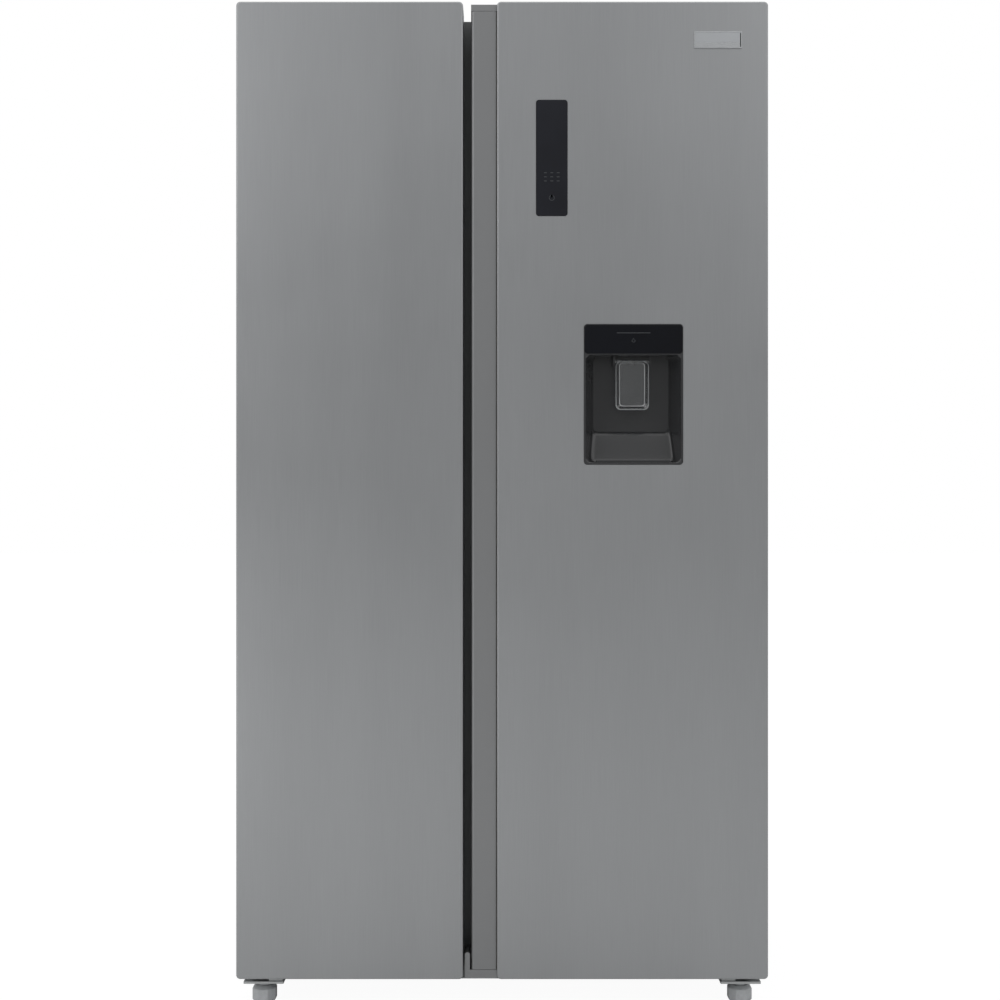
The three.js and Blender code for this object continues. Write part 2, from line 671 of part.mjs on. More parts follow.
function addFreezerDoor() {
  const skin = steelSkin(freezerDoorX, skinReturnEnd, skinReturnEnd);
  addPiece('freezer_door_skin', 'doorSteel', without(skin, skinPinHoles(-hingeX)));
  const capY = [skinInside + gap, doorBack];
  const insideTop = doorTop - skinThickness - gap;
  const insideBottom = doorBottom + skinThickness + gap;
  const capX = [freezerBodyX[0], freezerBodyX[1]];
  const bodyRadius = doorCornerRadius - skinThickness;
  const topCap = roundedPlate(capX, capY, [capInnerTop - 20, insideTop], bodyRadius)
    .subtract(block(shrink(capX, -1), shrink(capY, -1), [capInnerTop - 21, capInnerTop]));
  addPiece('freezer_door_top_cap', 'greyPlastic', topCap.subtract(pinPocket(-hingeX)));
  const bottomCap = roundedPlate(capX, capY, [insideBottom, capInnerBottom + 20], bodyRadius)
    .subtract(block(shrink(capX, -1), shrink(capY, -1), [capInnerBottom, capInnerBottom + 21]));
  addPiece('freezer_door_bottom_cap', 'greyPlastic', bottomCap.subtract(lowerPinPocket(-hingeX)));
  const foamY = [skinInside + gap, linerPlateFront - gap];
  const foamZ = [capInnerBottom + gap, capInnerTop - gap];
  addPiece('freezer_door_foam', 'foam', block(freezerBodyX, foamY, foamZ));
  addPiece('freezer_door_liner', 'whitePlastic', doorLiner(freezerBodyX, freezerDykeX, []));
  addPiece('freezer_door_gasket', 'gasketGrey', gasketRing(freezerGasketX));
  [0.2, 0.46, 0.72].forEach((share, index) => {
    addBin(`freezer_bin_${index + 1}`, freezerBinX, dykeFloor + share * (dykeTop - dykeFloor));
  });
}

// Fridge door
const stripFront = doorFront + stripRecess;
const stripTop = capInnerTop - gap;
const fridgeSkinX = [skinLeft, right];
const fridgeBodyX = [stripLeft, right - skinThickness - gap];
const fridgeMainX = [skinLeft + skinThickness + gap, fridgeBodyX[1]];
const capLeft = freezerDoorRight + capSideGap;
const fridgeDykeX = [
  hingeX - reachPastWall(hingeX - fridgeInner[0], doorBack + dykeDepth) + 2,
  fridgeInner[1] - 8,
];
const fridgeBinX = [
  Math.max(fridgeDykeX[0] + dykeWall + gap, hingeX - reachPastWall(hingeX - fridgeInner[0], binFront)),
  fridgeDykeX[1] - dykeWall - gap,
];
const fridgeGasketX = [fridgeSpan[0] - gasketSeat - gasketWidth + 5, fridgeSpan[1] + gasketSeat + gasketWidth + 6];

// A box on the fridge door's face, measured from the skin's left edge and the door top
function onDoor({ left: fromSkin, drop, width: w, height: h }) {
  const x = skinLeft + fromSkin;
  const z = doorTop - drop;
  return { xs: [x, x + w], zs: [z - h, z] };
}

const display = onDoor(displaySize);
const dispenser = onDoor(dispenserSize);
const badge = onDoor(badgeSize);
const fasciaBottom = dispenser.zs[1] - fasciaHeight;
const cavityX = shrink(dispenser.xs, dispenserBorder);
const cavityZ = [dispenser.zs[0] + dispenserBorder, fasciaBottom - 2];
const cavityBack = doorFront - proud + dispenserSize.depth;
const housingBack = cavityBack + plasticWall;
const dispenserMiddle = (dispenser.xs[0] + dispenser.xs[1]) / 2;

function addFridgeSkin() {
  const skin = steelSkin(fridgeSkinX, stripFront, skinReturnEnd);
  const hole = (box, radius) => roundedPlate(
    [box.xs[0] - gap, box.xs[1] + gap], [doorFront - 2, skinInside + 1], [box.zs[0] - gap, box.zs[1] + gap], radius);
  addPiece('fridge_door_skin', 'doorSteel', without(skin, [hole(dispenser, 7), hole(display, 4), ...skinPinHoles(hingeX)]));
}

function addFridgeCaps() {
  const mainY = [skinInside + gap, doorBack];
  const sideY = [stripFront, doorBack];
  const insideTop = doorTop - skinThickness - gap;
  const insideBottom = doorBottom + skinThickness + gap;
  const radius = doorCornerRadius - skinThickness;
  const mainTop = roundedPlate(fridgeMainX, mainY, [capInnerTop - 20, insideTop], radius)
    .subtract(block(shrink(fridgeMainX, -1), shrink(mainY, -1), [capInnerTop - 21, capInnerTop]));
  const bridgeY = [stripFront + gap, doorBack];
  const bridgeX = [skinLeft - 1, fridgeMainX[0] + 10];
  const sideTop = block([stripLeft, skinLeft - gap], sideY, [capInnerTop, doorTop - stripTopDrop]);
  const topBridge = block(bridgeX, bridgeY, [capInnerTop, doorTop - stripTopDrop]);
  addPiece('fridge_door_top_cap', 'satinSilver', joined([mainTop, sideTop, topBridge]).subtract(pinPocket(hingeX)));

  const mainBottom = roundedPlate(fridgeMainX, mainY, [insideBottom, capInnerBottom + 20], radius)
    .subtract(block(shrink(fridgeMainX, -1), shrink(mainY, -1), [capInnerBottom, capInnerBottom + 21]));
  const sideBottom = block([capLeft, skinLeft - gap], sideY, [doorBottom, capInnerBottom]);
  const bottomBridge = block(bridgeX, bridgeY, [insideBottom, capInnerBottom]);
  const tongueX = [capLeft, stripLeft - 2];
  const tongueRadius = (tongueX[1] - tongueX[0]) / 2 - gap;
  const tongueY = [stripFront, stripFront + tongueDepth];
  const tongue = roundedPlate(tongueX, tongueY, [doorBottom + 2, capInnerBottom + tongueHeight], tongueRadius);
  addPiece('fridge_door_bottom_cap', 'satinSilver',
    joined([mainBottom, sideBottom, bottomBridge, tongue]).subtract(lowerPinPocket(hingeX)));
}

function addHandleStrip() {
  const zs = [capInnerBottom + gap, stripTop];
  const face = block([stripLeft, skinLeft - gap], [stripFront, stripFront + stripThickness], zs);
  const side = block([stripLeft, stripLeft + stripThickness], [stripFront, skinReturnEnd], zs);
  addPiece('handle_strip', 'satinSilver', face.add(side));
}

function addFridgeInsulation() {
  const zs = [capInnerBottom + gap, capInnerTop - gap];
  const back = linerPlateFront - gap;
  const main = block([fridgeMainX[0], fridgeMainX[1]], [skinInside + gap, back], zs);
  const sideX = [stripLeft + stripThickness + gap, fridgeMainX[0] + 1];
  const behindStrip = block(sideX, [stripFront + stripThickness + gap, back], zs);
  const housingRoom = block(
    [dispenser.xs[0] - gap, dispenser.xs[1] + gap],
    [doorFront, doorBack + 1],
    [dispenser.zs[0] - gap, dispenser.zs[1] + gap],
  );
  const displayRoom = block([display.xs[0] - 1, display.xs[1] + 1], [doorFront, skinInside + 6],
    [display.zs[0] - 1, display.zs[1] + 1]);
  addPiece('fridge_door_foam', 'foam', without(main.add(behindStrip), [housingRoom, displayRoom]));
  const linerX = [stripLeft + stripThickness + gap, fridgeBodyX[1]];
  const rear = housingBack > linerPlateFront - gap ? [housingRoom] : [];
  addPiece('fridge_door_liner', 'whitePlastic', doorLiner(linerX, fridgeDykeX, rear));
  addPiece('fridge_door_gasket', 'gasketGrey', gasketRing(fridgeGasketX));
}

const tankFloor = dispenser.zs[1] + 15;
const tankHeight = 130;

function addFridgeDoorBins() {
  const low = dykeFloor + 0.12 * (dykeTop - dykeFloor);
  addBin('fridge_bin_1', fridgeBinX, low);
  addBin('fridge_bin_2', fridgeBinX, (low + binHeight + dispenser.zs[0]) / 2 - binHeight / 3);
  const zs = [tankFloor, tankFloor + tankHeight];
  const outer = block(fridgeBinX, [binBack, binFront - 15], zs);
  const inner = block(
    shrink(fridgeBinX, plasticWall), shrink([binBack, binFront - 15], plasticWall), shrink(zs, plasticWall));
  const middle = (fridgeBinX[0] + fridgeBinX[1]) / 2;
  const filler = rod('z', [zs[1] - 10, zs[1] + 1], 32, [middle, (binBack + binFront - 15) / 2], 24);
  addPiece('water_tank', 'clearPlastic', without(outer, [inner, filler]));
}

// The dispenser's hollow: tapered side walls, a short floor and a back that slopes up from it
function cavitySolid() {
  const mouthY = doorFront - proud - 1;
  const floorEnd = mouthY + 27;
  const slopeTop = cavityZ[0] + 55;
  const sides = sideProfile(cavityX, [
    [mouthY, cavityZ[0]], [floorEnd, cavityZ[0]], [cavityBack, slopeTop], [cavityBack, cavityZ[1]],
    [mouthY, cavityZ[1]],
  ]);
  const plan = planProfile(shrink(cavityZ, -1), [
    [cavityX[0], mouthY - 1], [cavityX[1], mouthY - 1],
    [cavityX[1] - cavityTaper, cavityBack + 1], [cavityX[0] + cavityTaper, cavityBack + 1],
  ]);
  return sides.intersect(plan);
}

const paddleX = [dispenserMiddle - paddleSize.width / 2, dispenserMiddle + paddleSize.width / 2];
const paddleTop = cavityZ[1] - 9;
const paddleY = (doorFront + cavityBack) / 2 + 2;
const axleRadius = 2.5;

function addDispenser() {
  const front = doorFront - proud;
  const body = roundedPlate(dispenser.xs, [front, housingBack], dispenser.zs, 6);
  const fasciaRoom = roundedPlate(
    shrink(dispenser.xs, 1), [front - 1, front + 3], [fasciaBottom, dispenser.zs[1] - 1], 5);
  const duct = rod('z', [cavityZ[1] - 1, dispenser.zs[1] + 1], 5, [dispenserMiddle, paddleY + 14], 16);
  addPiece('dispenser_housing', 'darkPlastic', without(body, [cavitySolid(), fasciaRoom, duct]));
  const fascia = roundedPlate(
    shrink(dispenser.xs, 1 + gap), [front - 0.4, front + 3 - gap],
    [fasciaBottom + gap, dispenser.zs[1] - 1 - gap], 5);
  addPiece('dispenser_fascia', 'glossBlack', fascia);

  const earX = [paddleX[0] - 4, paddleX[1] + 4];
  const ears = [earX[0], earX[1] - 3.5].map((x) => block(
    [x, x + 3.5], [paddleY - 6, paddleY + 6], [paddleTop - 6, cavityZ[1] - gap]));
  const bridge = block(earX, [paddleY + 7, paddleY + 20], [cavityZ[1] - 5, cavityZ[1] - gap]);
  const links = [earX[0], earX[1] - 3.5].map((x) => block(
    [x, x + 3.5], [paddleY + 5, paddleY + 8], [cavityZ[1] - 5, cavityZ[1] - gap]));
  const spout = rod('z', [cavityZ[1] - 14, cavityZ[1] - 1], 7, [dispenserMiddle, paddleY + 14], 20);
  const bore = rod('z', [cavityZ[1] - 15, cavityZ[1] + 1], 3.5, [dispenserMiddle, paddleY + 14], 12);
  const pinHole = rod('x', shrink(earX, -1), axleRadius + pinClearance, [paddleY, paddleTop], 16);
  addPiece('dispenser_nozzle', 'darkPlastic', without(joined([...ears, bridge, ...links, spout]), [bore, pinHole]));

  const zs = [paddleTop - paddleSize.height, paddleTop];
  const plate = roundedPlate(paddleX, [paddleY - 1.5, paddleY + paddleSize.thickness - 1.5], zs, 8);
  const rim = roundedPlate(paddleX, [paddleY - 6, paddleY + 1], zs, 8)
    .subtract(roundedPlate(shrink(paddleX, 7), [paddleY - 7, paddleY + 2], shrink(zs, 8), 5));
  const trimTop = block(shrink(paddleX, -1), [paddleY - 10, paddleY + 10], [paddleTop - 1, paddleTop + 2]);
  const axle = rod('x', shrink(earX, 0.5), axleRadius, [paddleY, paddleTop], 16);
  addPiece('dispenser_paddle', 'clearPlastic', plate.add(rim).subtract(trimTop).add(axle));

  const trayX = shrink(dispenser.xs, dispenserBorder + 18);
  const trayY = [front + 3, front + 21];
  const trayZ = [cavityZ[0] + gap, cavityZ[0] + 4];
  const slots = [];
  for (let x = trayX[0] + 6; x < trayX[1] - 8; x += 9) {
    slots.push(block([x, x + 4], shrink(trayY, 4), shrink(trayZ, -1)));
  }
  addPiece('drip_tray', 'darkPlastic', without(block(trayX, trayY, trayZ), slots));
}

function addFaceTrim() {
  const screen = roundedPlate(display.xs, [doorFront - proud, skinInside + 3], display.zs, 4);
  addPiece('display_panel', 'glossBlack', screen);
  const plateY = [doorFront - badgeProud, doorFront - gap];
  addPiece('name_badge', 'badgeMetal', roundedPlate(badge.xs, plateY, badge.zs, 1.5));
}

addCabinetShell();
addFrontStrips();
addLiners();
addCabinetFoam();
addBasePan();
addRollers();
addBackPanels();
addCoolingParts();
addAirDuct();
addEvaporatorFan();
addShelves();
addDrawers();
for (const [side, sign] of [['left', -1], ['right', 1]]) {
  addTopHinge(side, sign);
  addBottomHinge(side, sign);
  addFoot(side, sign);
}
addFreezerDoor();
addFridgeSkin();
addFridgeCaps();
addHandleStrip();
addFridgeInsulation();
addFridgeDoorBins();
addDispenser();
addFaceTrim();

export default refrigerator;
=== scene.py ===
import json
import math
import bmesh
import bpy
from mathutils import Matrix, Vector


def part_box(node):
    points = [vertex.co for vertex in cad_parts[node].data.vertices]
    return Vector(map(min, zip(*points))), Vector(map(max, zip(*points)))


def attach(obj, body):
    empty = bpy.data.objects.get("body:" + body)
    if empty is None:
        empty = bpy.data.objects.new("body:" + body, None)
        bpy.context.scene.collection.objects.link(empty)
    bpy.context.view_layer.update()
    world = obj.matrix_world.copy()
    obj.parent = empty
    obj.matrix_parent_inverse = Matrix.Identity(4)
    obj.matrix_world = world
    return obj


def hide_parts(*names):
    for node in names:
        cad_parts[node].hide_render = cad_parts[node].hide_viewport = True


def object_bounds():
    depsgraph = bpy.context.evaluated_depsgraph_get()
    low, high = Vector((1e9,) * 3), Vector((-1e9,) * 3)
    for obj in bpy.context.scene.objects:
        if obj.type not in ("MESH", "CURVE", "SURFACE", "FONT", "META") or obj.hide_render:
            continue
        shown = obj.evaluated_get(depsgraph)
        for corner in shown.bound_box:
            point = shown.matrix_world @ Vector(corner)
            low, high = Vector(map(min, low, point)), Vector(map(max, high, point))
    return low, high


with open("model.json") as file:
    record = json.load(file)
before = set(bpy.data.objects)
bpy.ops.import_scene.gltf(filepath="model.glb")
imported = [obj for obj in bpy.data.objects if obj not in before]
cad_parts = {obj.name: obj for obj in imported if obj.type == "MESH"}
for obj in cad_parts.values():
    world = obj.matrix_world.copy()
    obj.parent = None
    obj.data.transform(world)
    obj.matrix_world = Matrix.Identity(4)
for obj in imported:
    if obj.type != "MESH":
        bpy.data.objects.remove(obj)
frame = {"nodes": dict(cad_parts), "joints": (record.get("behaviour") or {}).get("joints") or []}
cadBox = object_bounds()
print("frame loaded:", len(frame["nodes"]), "nodes")

mm = 0.001
sharp = 0.01 * mm  # a plate's edge this small is as good as square


# shader sockets as numbers in Python expressions

class Wire:
    def __init__(self, tree, socket):
        self.tree = tree
        self.socket = socket

    def maths(self, operation, *others):
        return self.tree.make("ShaderNodeMath", {"operation": operation}, dict(enumerate([self, *others])))

    def __add__(self, other):
        return self.maths("ADD", other)

    def __radd__(self, other):
        return self.maths("ADD", other)

    def __sub__(self, other):
        return self.maths("SUBTRACT", other)

    def __rsub__(self, other):
        return self.tree.make("ShaderNodeMath", {"operation": "SUBTRACT"}, {0: other, 1: self})

    def __mul__(self, other):
        return self.maths("MULTIPLY", other)

    def __rmul__(self, other):
        return self.maths("MULTIPLY", other)

    def __truediv__(self, other):
        return self.maths("DIVIDE", other)

    def size(self):
        return self.maths("ABSOLUTE")

    def ramp(self, fromLow, fromHigh, toLow=0.0, toHigh=1.0):
        inputs = {0: self, 1: fromLow, 2: fromHigh, 3: toLow, 4: toHigh}
        return self.tree.make("ShaderNodeMapRange", {"clamp": True}, inputs)


class Tree:
    def __init__(self, nodeTree):
        self.nodes = nodeTree.nodes
        self.links = nodeTree.links
        self.nodes.clear()

    # a node by its type, its settings and what its sockets hold or link to
    def make(self, kind, settings=None, sockets=None, output=0):
        node = self.nodes.new(kind)
        for key, value in (settings or {}).items():
            setattr(node, key, value)
        for key, value in (sockets or {}).items():
            if isinstance(value, Wire):
                self.links.new(value.socket, node.inputs[key])
            else:
                node.inputs[key].default_value = value
        return Wire(self, node.outputs[output]) if len(node.outputs) else None


# the node tree of a material or of the world
class Finish(Tree):
    def __init__(self, owner):
        owner.use_nodes = True
        super().__init__(owner.node_tree)
        self.material = owner

    def place(self, scale=(1, 1, 1)):
        spot = self.make("ShaderNodeTexCoord", output="Object")
        return self.make("ShaderNodeMapping", {}, {"Vector": spot, "Scale": scale})

    def noise(self, scale, detail=2.0, stretch=(1, 1, 1)):
        inputs = {"Vector": self.place(stretch), "Scale": scale, "Detail": detail}
        return self.make("ShaderNodeTexNoise", {}, inputs)

    # a colour that wanders between a darker and a lighter one
    def shade(self, colour, factor, amount=0.1):
        darker = tuple(c * (1 - amount) for c in colour)
        lighter = tuple(min(1.0, c * (1 + amount)) for c in colour)
        inputs = {0: factor, 6: (*darker, 1), 7: (*lighter, 1)}
        return self.make("ShaderNodeMix", {"data_type": "RGBA"}, inputs, output=2)

    def mix(self, factor, first, second):
        inputs = {0: factor, 6: (*first, 1), 7: (*second, 1)}
        return self.make("ShaderNodeMix", {"data_type": "RGBA"}, inputs, output=2)

    def bump(self, heightWire, distance, strength):
        return self.make("ShaderNodeBump", {},
                         {"Height": heightWire, "Distance": distance, "Strength": strength})

    # a Principled shader from its sockets' names, with underscores for the spaces
    def surface(self, **values):
        sockets = {key: (*value, 1) if isinstance(value, tuple) and len(value) == 3 else value
                   for key, value in values.items()}
        named = {key.replace("_", " "): value for key, value in sockets.items()}
        shader = self.make("ShaderNodeBsdfPrincipled", {}, named)
        self.make("ShaderNodeOutputMaterial", {}, {"Surface": shader})
        return self.material


finishes = {}


# a finish by the name of its maker, made once
def finish(name):
    if name not in finishes:
        finishes[name] = makers[name](Finish(bpy.data.materials.new(name)))
    return finishes[name]


brushed = {"colour": (0.340, 0.345, 0.353), "rough": 0.37, "roughDrift": 0.02, "grainScale": 1900,
           "grainLength": 0.006, "bandScale": 9, "bandLength": 0.06, "grainShare": 0.6, "contrast": 0.055}


# sheet steel with a fine upright grain and faint wide bands
def brushedSteel(f):
    fine = f.noise(brushed["grainScale"], 2.0, (1, 1, brushed["grainLength"]))
    band = f.noise(brushed["bandScale"], 2.0, (1, 1, brushed["bandLength"]))
    smudge = f.noise(3.5, 2.0)
    drift = brushed["roughDrift"]
    streak = fine * brushed["grainShare"] + band * (1 - brushed["grainShare"])
    colour = f.shade(brushed["colour"], streak.ramp(0.3, 0.7), brushed["contrast"])
    rough = fine.ramp(0.3, 0.7, -drift, drift) + smudge.ramp(0.3, 0.7, -drift, drift) + brushed["rough"]
    normal = f.bump(fine, 0.00001, 0.3)
    return f.surface(Base_Color=colour, Metallic=1.0, Roughness=rough, Normal=normal)


# roughness and relief that share one fine grain, over a colour that drifts slowly
def grained(f, scale, colour, driftScale, contrast, rough, depth, strength, metal=0.0):
    grain = f.noise(scale)
    drifting = f.shade(colour, f.noise(driftScale), contrast)
    return f.surface(Base_Color=drifting, Metallic=metal, Roughness=grain.ramp(0.3, 0.7, *rough),
                     Normal=f.bump(grain, depth, strength))


def satinSilver(f):
    return grained(f, 2600, (0.246, 0.248, 0.252), 5, 0.03, (0.38, 0.46), 0.00001, 0.4, 0.9)


def cabinetPaint(f):
    return grained(f, 1300, (0.125, 0.128, 0.132), 7, 0.05, (0.42, 0.55), 0.00006, 0.5, 0.1)


def galvanised(f):
    spangle = f.make("ShaderNodeTexVoronoi", {}, {"Vector": f.place(), "Scale": 130}, output="Color")
    grey = f.make("ShaderNodeRGBToBW", {}, {0: spangle})
    colour = f.shade((0.52, 0.53, 0.54), grey, 0.12)
    rough = grey.ramp(0, 1, 0.34, 0.5)
    normal = f.bump(f.noise(900), 0.00002, 0.4)
    return f.surface(Base_Color=colour, Metallic=0.9, Roughness=rough, Normal=normal)


def whitePlastic(f):
    return grained(f, 1900, (0.80, 0.81, 0.82), 4, 0.02, (0.3, 0.4), 0.00003, 0.35)


def foamCore(f):
    cells = f.make("ShaderNodeTexVoronoi", {}, {"Vector": f.place(), "Scale": 900})
    colour = f.shade((0.50, 0.48, 0.40), f.noise(25.0), 0.12)
    rough = cells.ramp(0, 0.6, 0.85, 1.0)
    return f.surface(Base_Color=colour, Roughness=rough, Normal=f.bump(cells, 0.0003, 0.6))


def gasketRubber(f):
    return grained(f, 800, (0.06, 0.061, 0.063), 12, 0.1, (0.6, 0.75), 0.00004, 0.5)


def greyPlastic(f):
    return grained(f, 1600, (0.11, 0.112, 0.115), 9, 0.06, (0.45, 0.6), 0.00006, 0.5)


def blackGlass(f):
    cloudiness = f.noise(18.0, 3.0)
    colour = f.shade((0.0026, 0.0031, 0.0052), cloudiness, 0.5)
    rough = cloudiness.ramp(0.4, 0.7, 0.05, 0.10)
    return f.surface(Base_Color=colour, Roughness=rough, IOR=1.32)


# a little lighter and bluer than the dispenser's glass, with cloudy patches in its colour: painted dim
# reflections on the display's glass
def displayGlass(f):
    cloudiness = f.noise(9.0, 2.0)
    # the lighter, bluish, patchy colour is painted reflection, not a colour of the glass
    colour = f.shade((0.010, 0.0105, 0.0145), cloudiness, 0.5)
    rough = cloudiness.ramp(0.4, 0.7, 0.05, 0.10)
    return f.surface(Base_Color=colour, Roughness=rough, IOR=1.32)


def darkPlastic(f):
    return grained(f, 2200, (0.028, 0.0285, 0.03), 15, 0.08, (0.2, 0.28), 0.00002, 0.4)


def clearPlastic(f):
    flow = f.noise(40.0, 2.0, (1, 1, 0.4))
    rough = flow.ramp(0.3, 0.7, 0.03, 0.08)
    return f.surface(Base_Color=(0.96, 0.985, 0.99), Roughness=rough, Transmission_Weight=1.0, IOR=1.45,
                     Alpha=0.5)


# the paddle is a little smoky, so its edges and bends catch the light
def paddlePlastic(f):
    flow = f.noise(60.0, 2.0, (1, 1, 0.4))
    rough = flow.ramp(0.3, 0.7, 0.08, 0.13)
    return f.surface(Base_Color=(0.93, 0.95, 0.96), Roughness=rough, Transmission_Weight=1.0, IOR=1.5,
                     Coat_Weight=1.0)


# an opaque light grey for beads along the paddle's edges: a painted highlight that stands in for the bright
# rims of the clear plastic
def frostedEdge(f):
    frost = f.noise(700.0, 2.0)
    colour = f.shade((0.34, 0.345, 0.35), f.noise(45.0, 3.0), 0.5)
    rough = frost.ramp(0.3, 0.7, 0.12, 0.2)
    return f.surface(Base_Color=colour, Roughness=rough, Normal=f.bump(frost, 0.00003, 0.4))


def printInk(f):
    worn = f.noise(900.0, 2.0)
    colour = f.shade((0.052, 0.056, 0.06), worn, 0.2)
    return f.surface(Base_Color=colour, Roughness=worn.ramp(0.3, 0.7, 0.5, 0.6))


def lampLens(f):
    return grained(f, 1200, (0.86, 0.87, 0.88), 20, 0.02, (0.35, 0.5), 0.00004, 0.5)


def copperTube(f):
    tarnish = f.noise(90.0, 4.0)
    colour = f.mix(tarnish.ramp(0.35, 0.7), (0.72, 0.36, 0.22), (0.42, 0.20, 0.12))
    return f.surface(Base_Color=colour, Metallic=1.0, Roughness=tarnish.ramp(0.3, 0.7, 0.25, 0.45))


def coilPaint(f):
    return grained(f, 500, (0.02, 0.02, 0.021), 30, 0.2, (0.35, 0.5), 0.00005, 0.4)


def bracketSteel(f):
    grain = f.noise(700, 3.0)
    colour = f.shade((0.42, 0.43, 0.43), f.noise(60.0, 3.0), 0.1)
    rough = grain.ramp(0.3, 0.7, 0.38, 0.5)
    return f.surface(Base_Color=colour, Metallic=0.7, Roughness=rough, Normal=f.bump(grain, 0.00003, 0.4))


def shelfGlass(f):
    smear = f.noise(14.0, 2.0)
    rough = smear.ramp(0.3, 0.7, 0.0, 0.03)
    return f.surface(Base_Color=(0.93, 0.98, 0.97), Roughness=rough, Transmission_Weight=1.0, IOR=1.45,
                     Alpha=0.42)


def footPlastic(f):
    grain = f.noise(1500, 2.0)
    scuff = f.noise(140.0, 4.0)
    colour = f.shade((0.40, 0.41, 0.42), scuff, 0.15)
    rough = grain.ramp(0.3, 0.7, 0.4, 0.52)
    return f.surface(Base_Color=colour, Roughness=rough, Normal=f.bump(scuff, 0.0001, 0.35))


def compressorPaint(f):
    return grained(f, 260, (0.018, 0.018, 0.019), 20, 0.15, (0.3, 0.42), 0.0001, 0.4)


def finAluminium(f):
    brush = f.noise(700, 2.0, (0.05, 1, 1))
    colour = f.shade((0.68, 0.69, 0.70), brush, 0.06)
    return f.surface(Base_Color=colour, Metallic=1.0, Roughness=brush.ramp(0.3, 0.7, 0.28, 0.4))


def badgeBright(f):
    satin = f.noise(1500, 2.0)
    colour = f.shade((0.40, 0.41, 0.425), satin, 0.05)
    return f.surface(Base_Color=colour, Metallic=0.6, Roughness=satin.ramp(0.3, 0.7, 0.3, 0.4))


def badgeMetal(f):
    brush = f.noise(1800, 2.0, (0.02, 1, 1))
    colour = f.shade((0.46, 0.47, 0.48), brush, 0.05)
    rough = brush.ramp(0.3, 0.7, 0.24, 0.34)
    return f.surface(Base_Color=colour, Metallic=1.0, Roughness=rough, Normal=f.bump(brush, 0.00001, 0.3))


# mesh making

def low(node):
    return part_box(node)[0]


def high(node):
    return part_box(node)[1]


def meshObject(name, mesh, material):
    piece = bpy.data.objects.new(name, mesh)
    bpy.context.scene.collection.objects.link(piece)
    mesh.materials.clear()
    mesh.materials.append(finish(material))
    return piece


def fromBmesh(name, form, material, smooth=True):
    mesh = bpy.data.meshes.new(name)
    form.to_mesh(mesh)
    form.free()
    for face in mesh.polygons:
        face.use_smooth = smooth
    return meshObject(name, mesh, material)


# the modifiers' result as a plain mesh
def applied(piece):
    graph = bpy.context.evaluated_depsgraph_get()
    mesh = bpy.data.meshes.new_from_object(piece.evaluated_get(graph))
    piece.modifiers.clear()
    piece.data = mesh
    return piece


def bevelled(piece, width, segments=3, angle=35):
    bevel = piece.modifiers.new("edges", "BEVEL")
    bevel.width = width
    bevel.segments = segments
    bevel.limit_method = "ANGLE"
    bevel.angle_limit = math.radians(angle)
    bevel.use_clamp_overlap = True
    bevel.harden_normals = True
    applied(piece)
    smoothAll(piece)
    return piece


def smoothByAngle(piece, angle=40):
    piece.data.set_sharp_from_angle(angle=math.radians(angle))


# smooth faces, with edges kept sharp past the angle
def smoothAll(piece, angle=40):
    for face in piece.data.polygons:
        face.use_smooth = True
    smoothByAngle(piece, angle)


# a merged copy of a CAD node's shape, with its flat faces whole again
def copyOf(node, name, material):
    mesh = frame["nodes"][node].data.copy()
    form = bmesh.new()
    form.from_mesh(mesh)
    bmesh.ops.remove_doubles(form, verts=form.verts, dist=0.00001)
    bmesh.ops.dissolve_limit(form, angle_limit=math.radians(1.5), verts=form.verts, edges=form.edges)
    return fromBmesh(name, form, material, False)


# takes the cutters' shapes out of the piece
def cutBy(piece, cutters):
    for cutter in cutters:
        step = piece.modifiers.new("cut", "BOOLEAN")
        step.operation = "DIFFERENCE"
        step.solver = "EXACT"
        step.object = cutter
    applied(piece)
    for cutter in cutters:
        bpy.data.objects.remove(cutter)
    return piece


def block(name, lo, hi, material="greyPlastic"):
    form = bmesh.new()
    bmesh.ops.create_cube(form, size=1.0)
    size = Vector(hi) - Vector(lo)
    middle = (Vector(hi) + Vector(lo)) / 2
    fitted = Matrix.Translation(middle) @ Matrix.Diagonal((*size, 1))
    bmesh.ops.transform(form, matrix=fitted, verts=form.verts)
    return fromBmesh(name, form, material, False)


# points of a rectangle with round corners, anticlockwise from the lower right corner
def roundRectangle(lo, hi, radius, steps=8):
    corners = [(hi[0], lo[1], -90), (hi[0], hi[1], 0), (lo[0], hi[1], 90), (lo[0], lo[1], 180)]
    inward = [(-1, 1), (-1, -1), (1, -1), (1, 1)]
    points = []
    for (x, y, start), (dx, dy) in zip(corners, inward):
        for step in range(steps + 1):
            turn = math.radians(start + 90 * step / steps)
            points.append((x + radius * (dx + math.cos(turn)), y + radius * (dy + math.sin(turn))))
    return points


# a round rectangle set in from the ends of two spans
def setIn(first, second, inset, radius, steps=8):
    return roundRectangle((first[0] + inset, second[0] + inset), (first[1] - inset, second[1] - inset),
                          radius, steps)


# joins rings of points into one closed skin, with a cap on the first and the last ring
def loft(name, rings, material, closeEnds=True, closeRound=False):
    form = bmesh.new()
    loops = [[form.verts.new(point) for point in ring] for ring in rings]
    pairs = list(zip(loops, loops[1:])) + ([(loops[-1], loops[0])] if closeRound else [])
    for first, second in pairs:
        count = len(first)
        for index in range(count):
            after = (index + 1) % count
            form.faces.new((first[index], first[after], second[after], second[index]))
    if closeEnds:
        form.faces.new(loops[0])
        form.faces.new(loops[-1])
    bmesh.ops.recalc_face_normals(form, faces=form.faces)
    piece = fromBmesh(name, form, material)
    smoothByAngle(piece)
    return piece


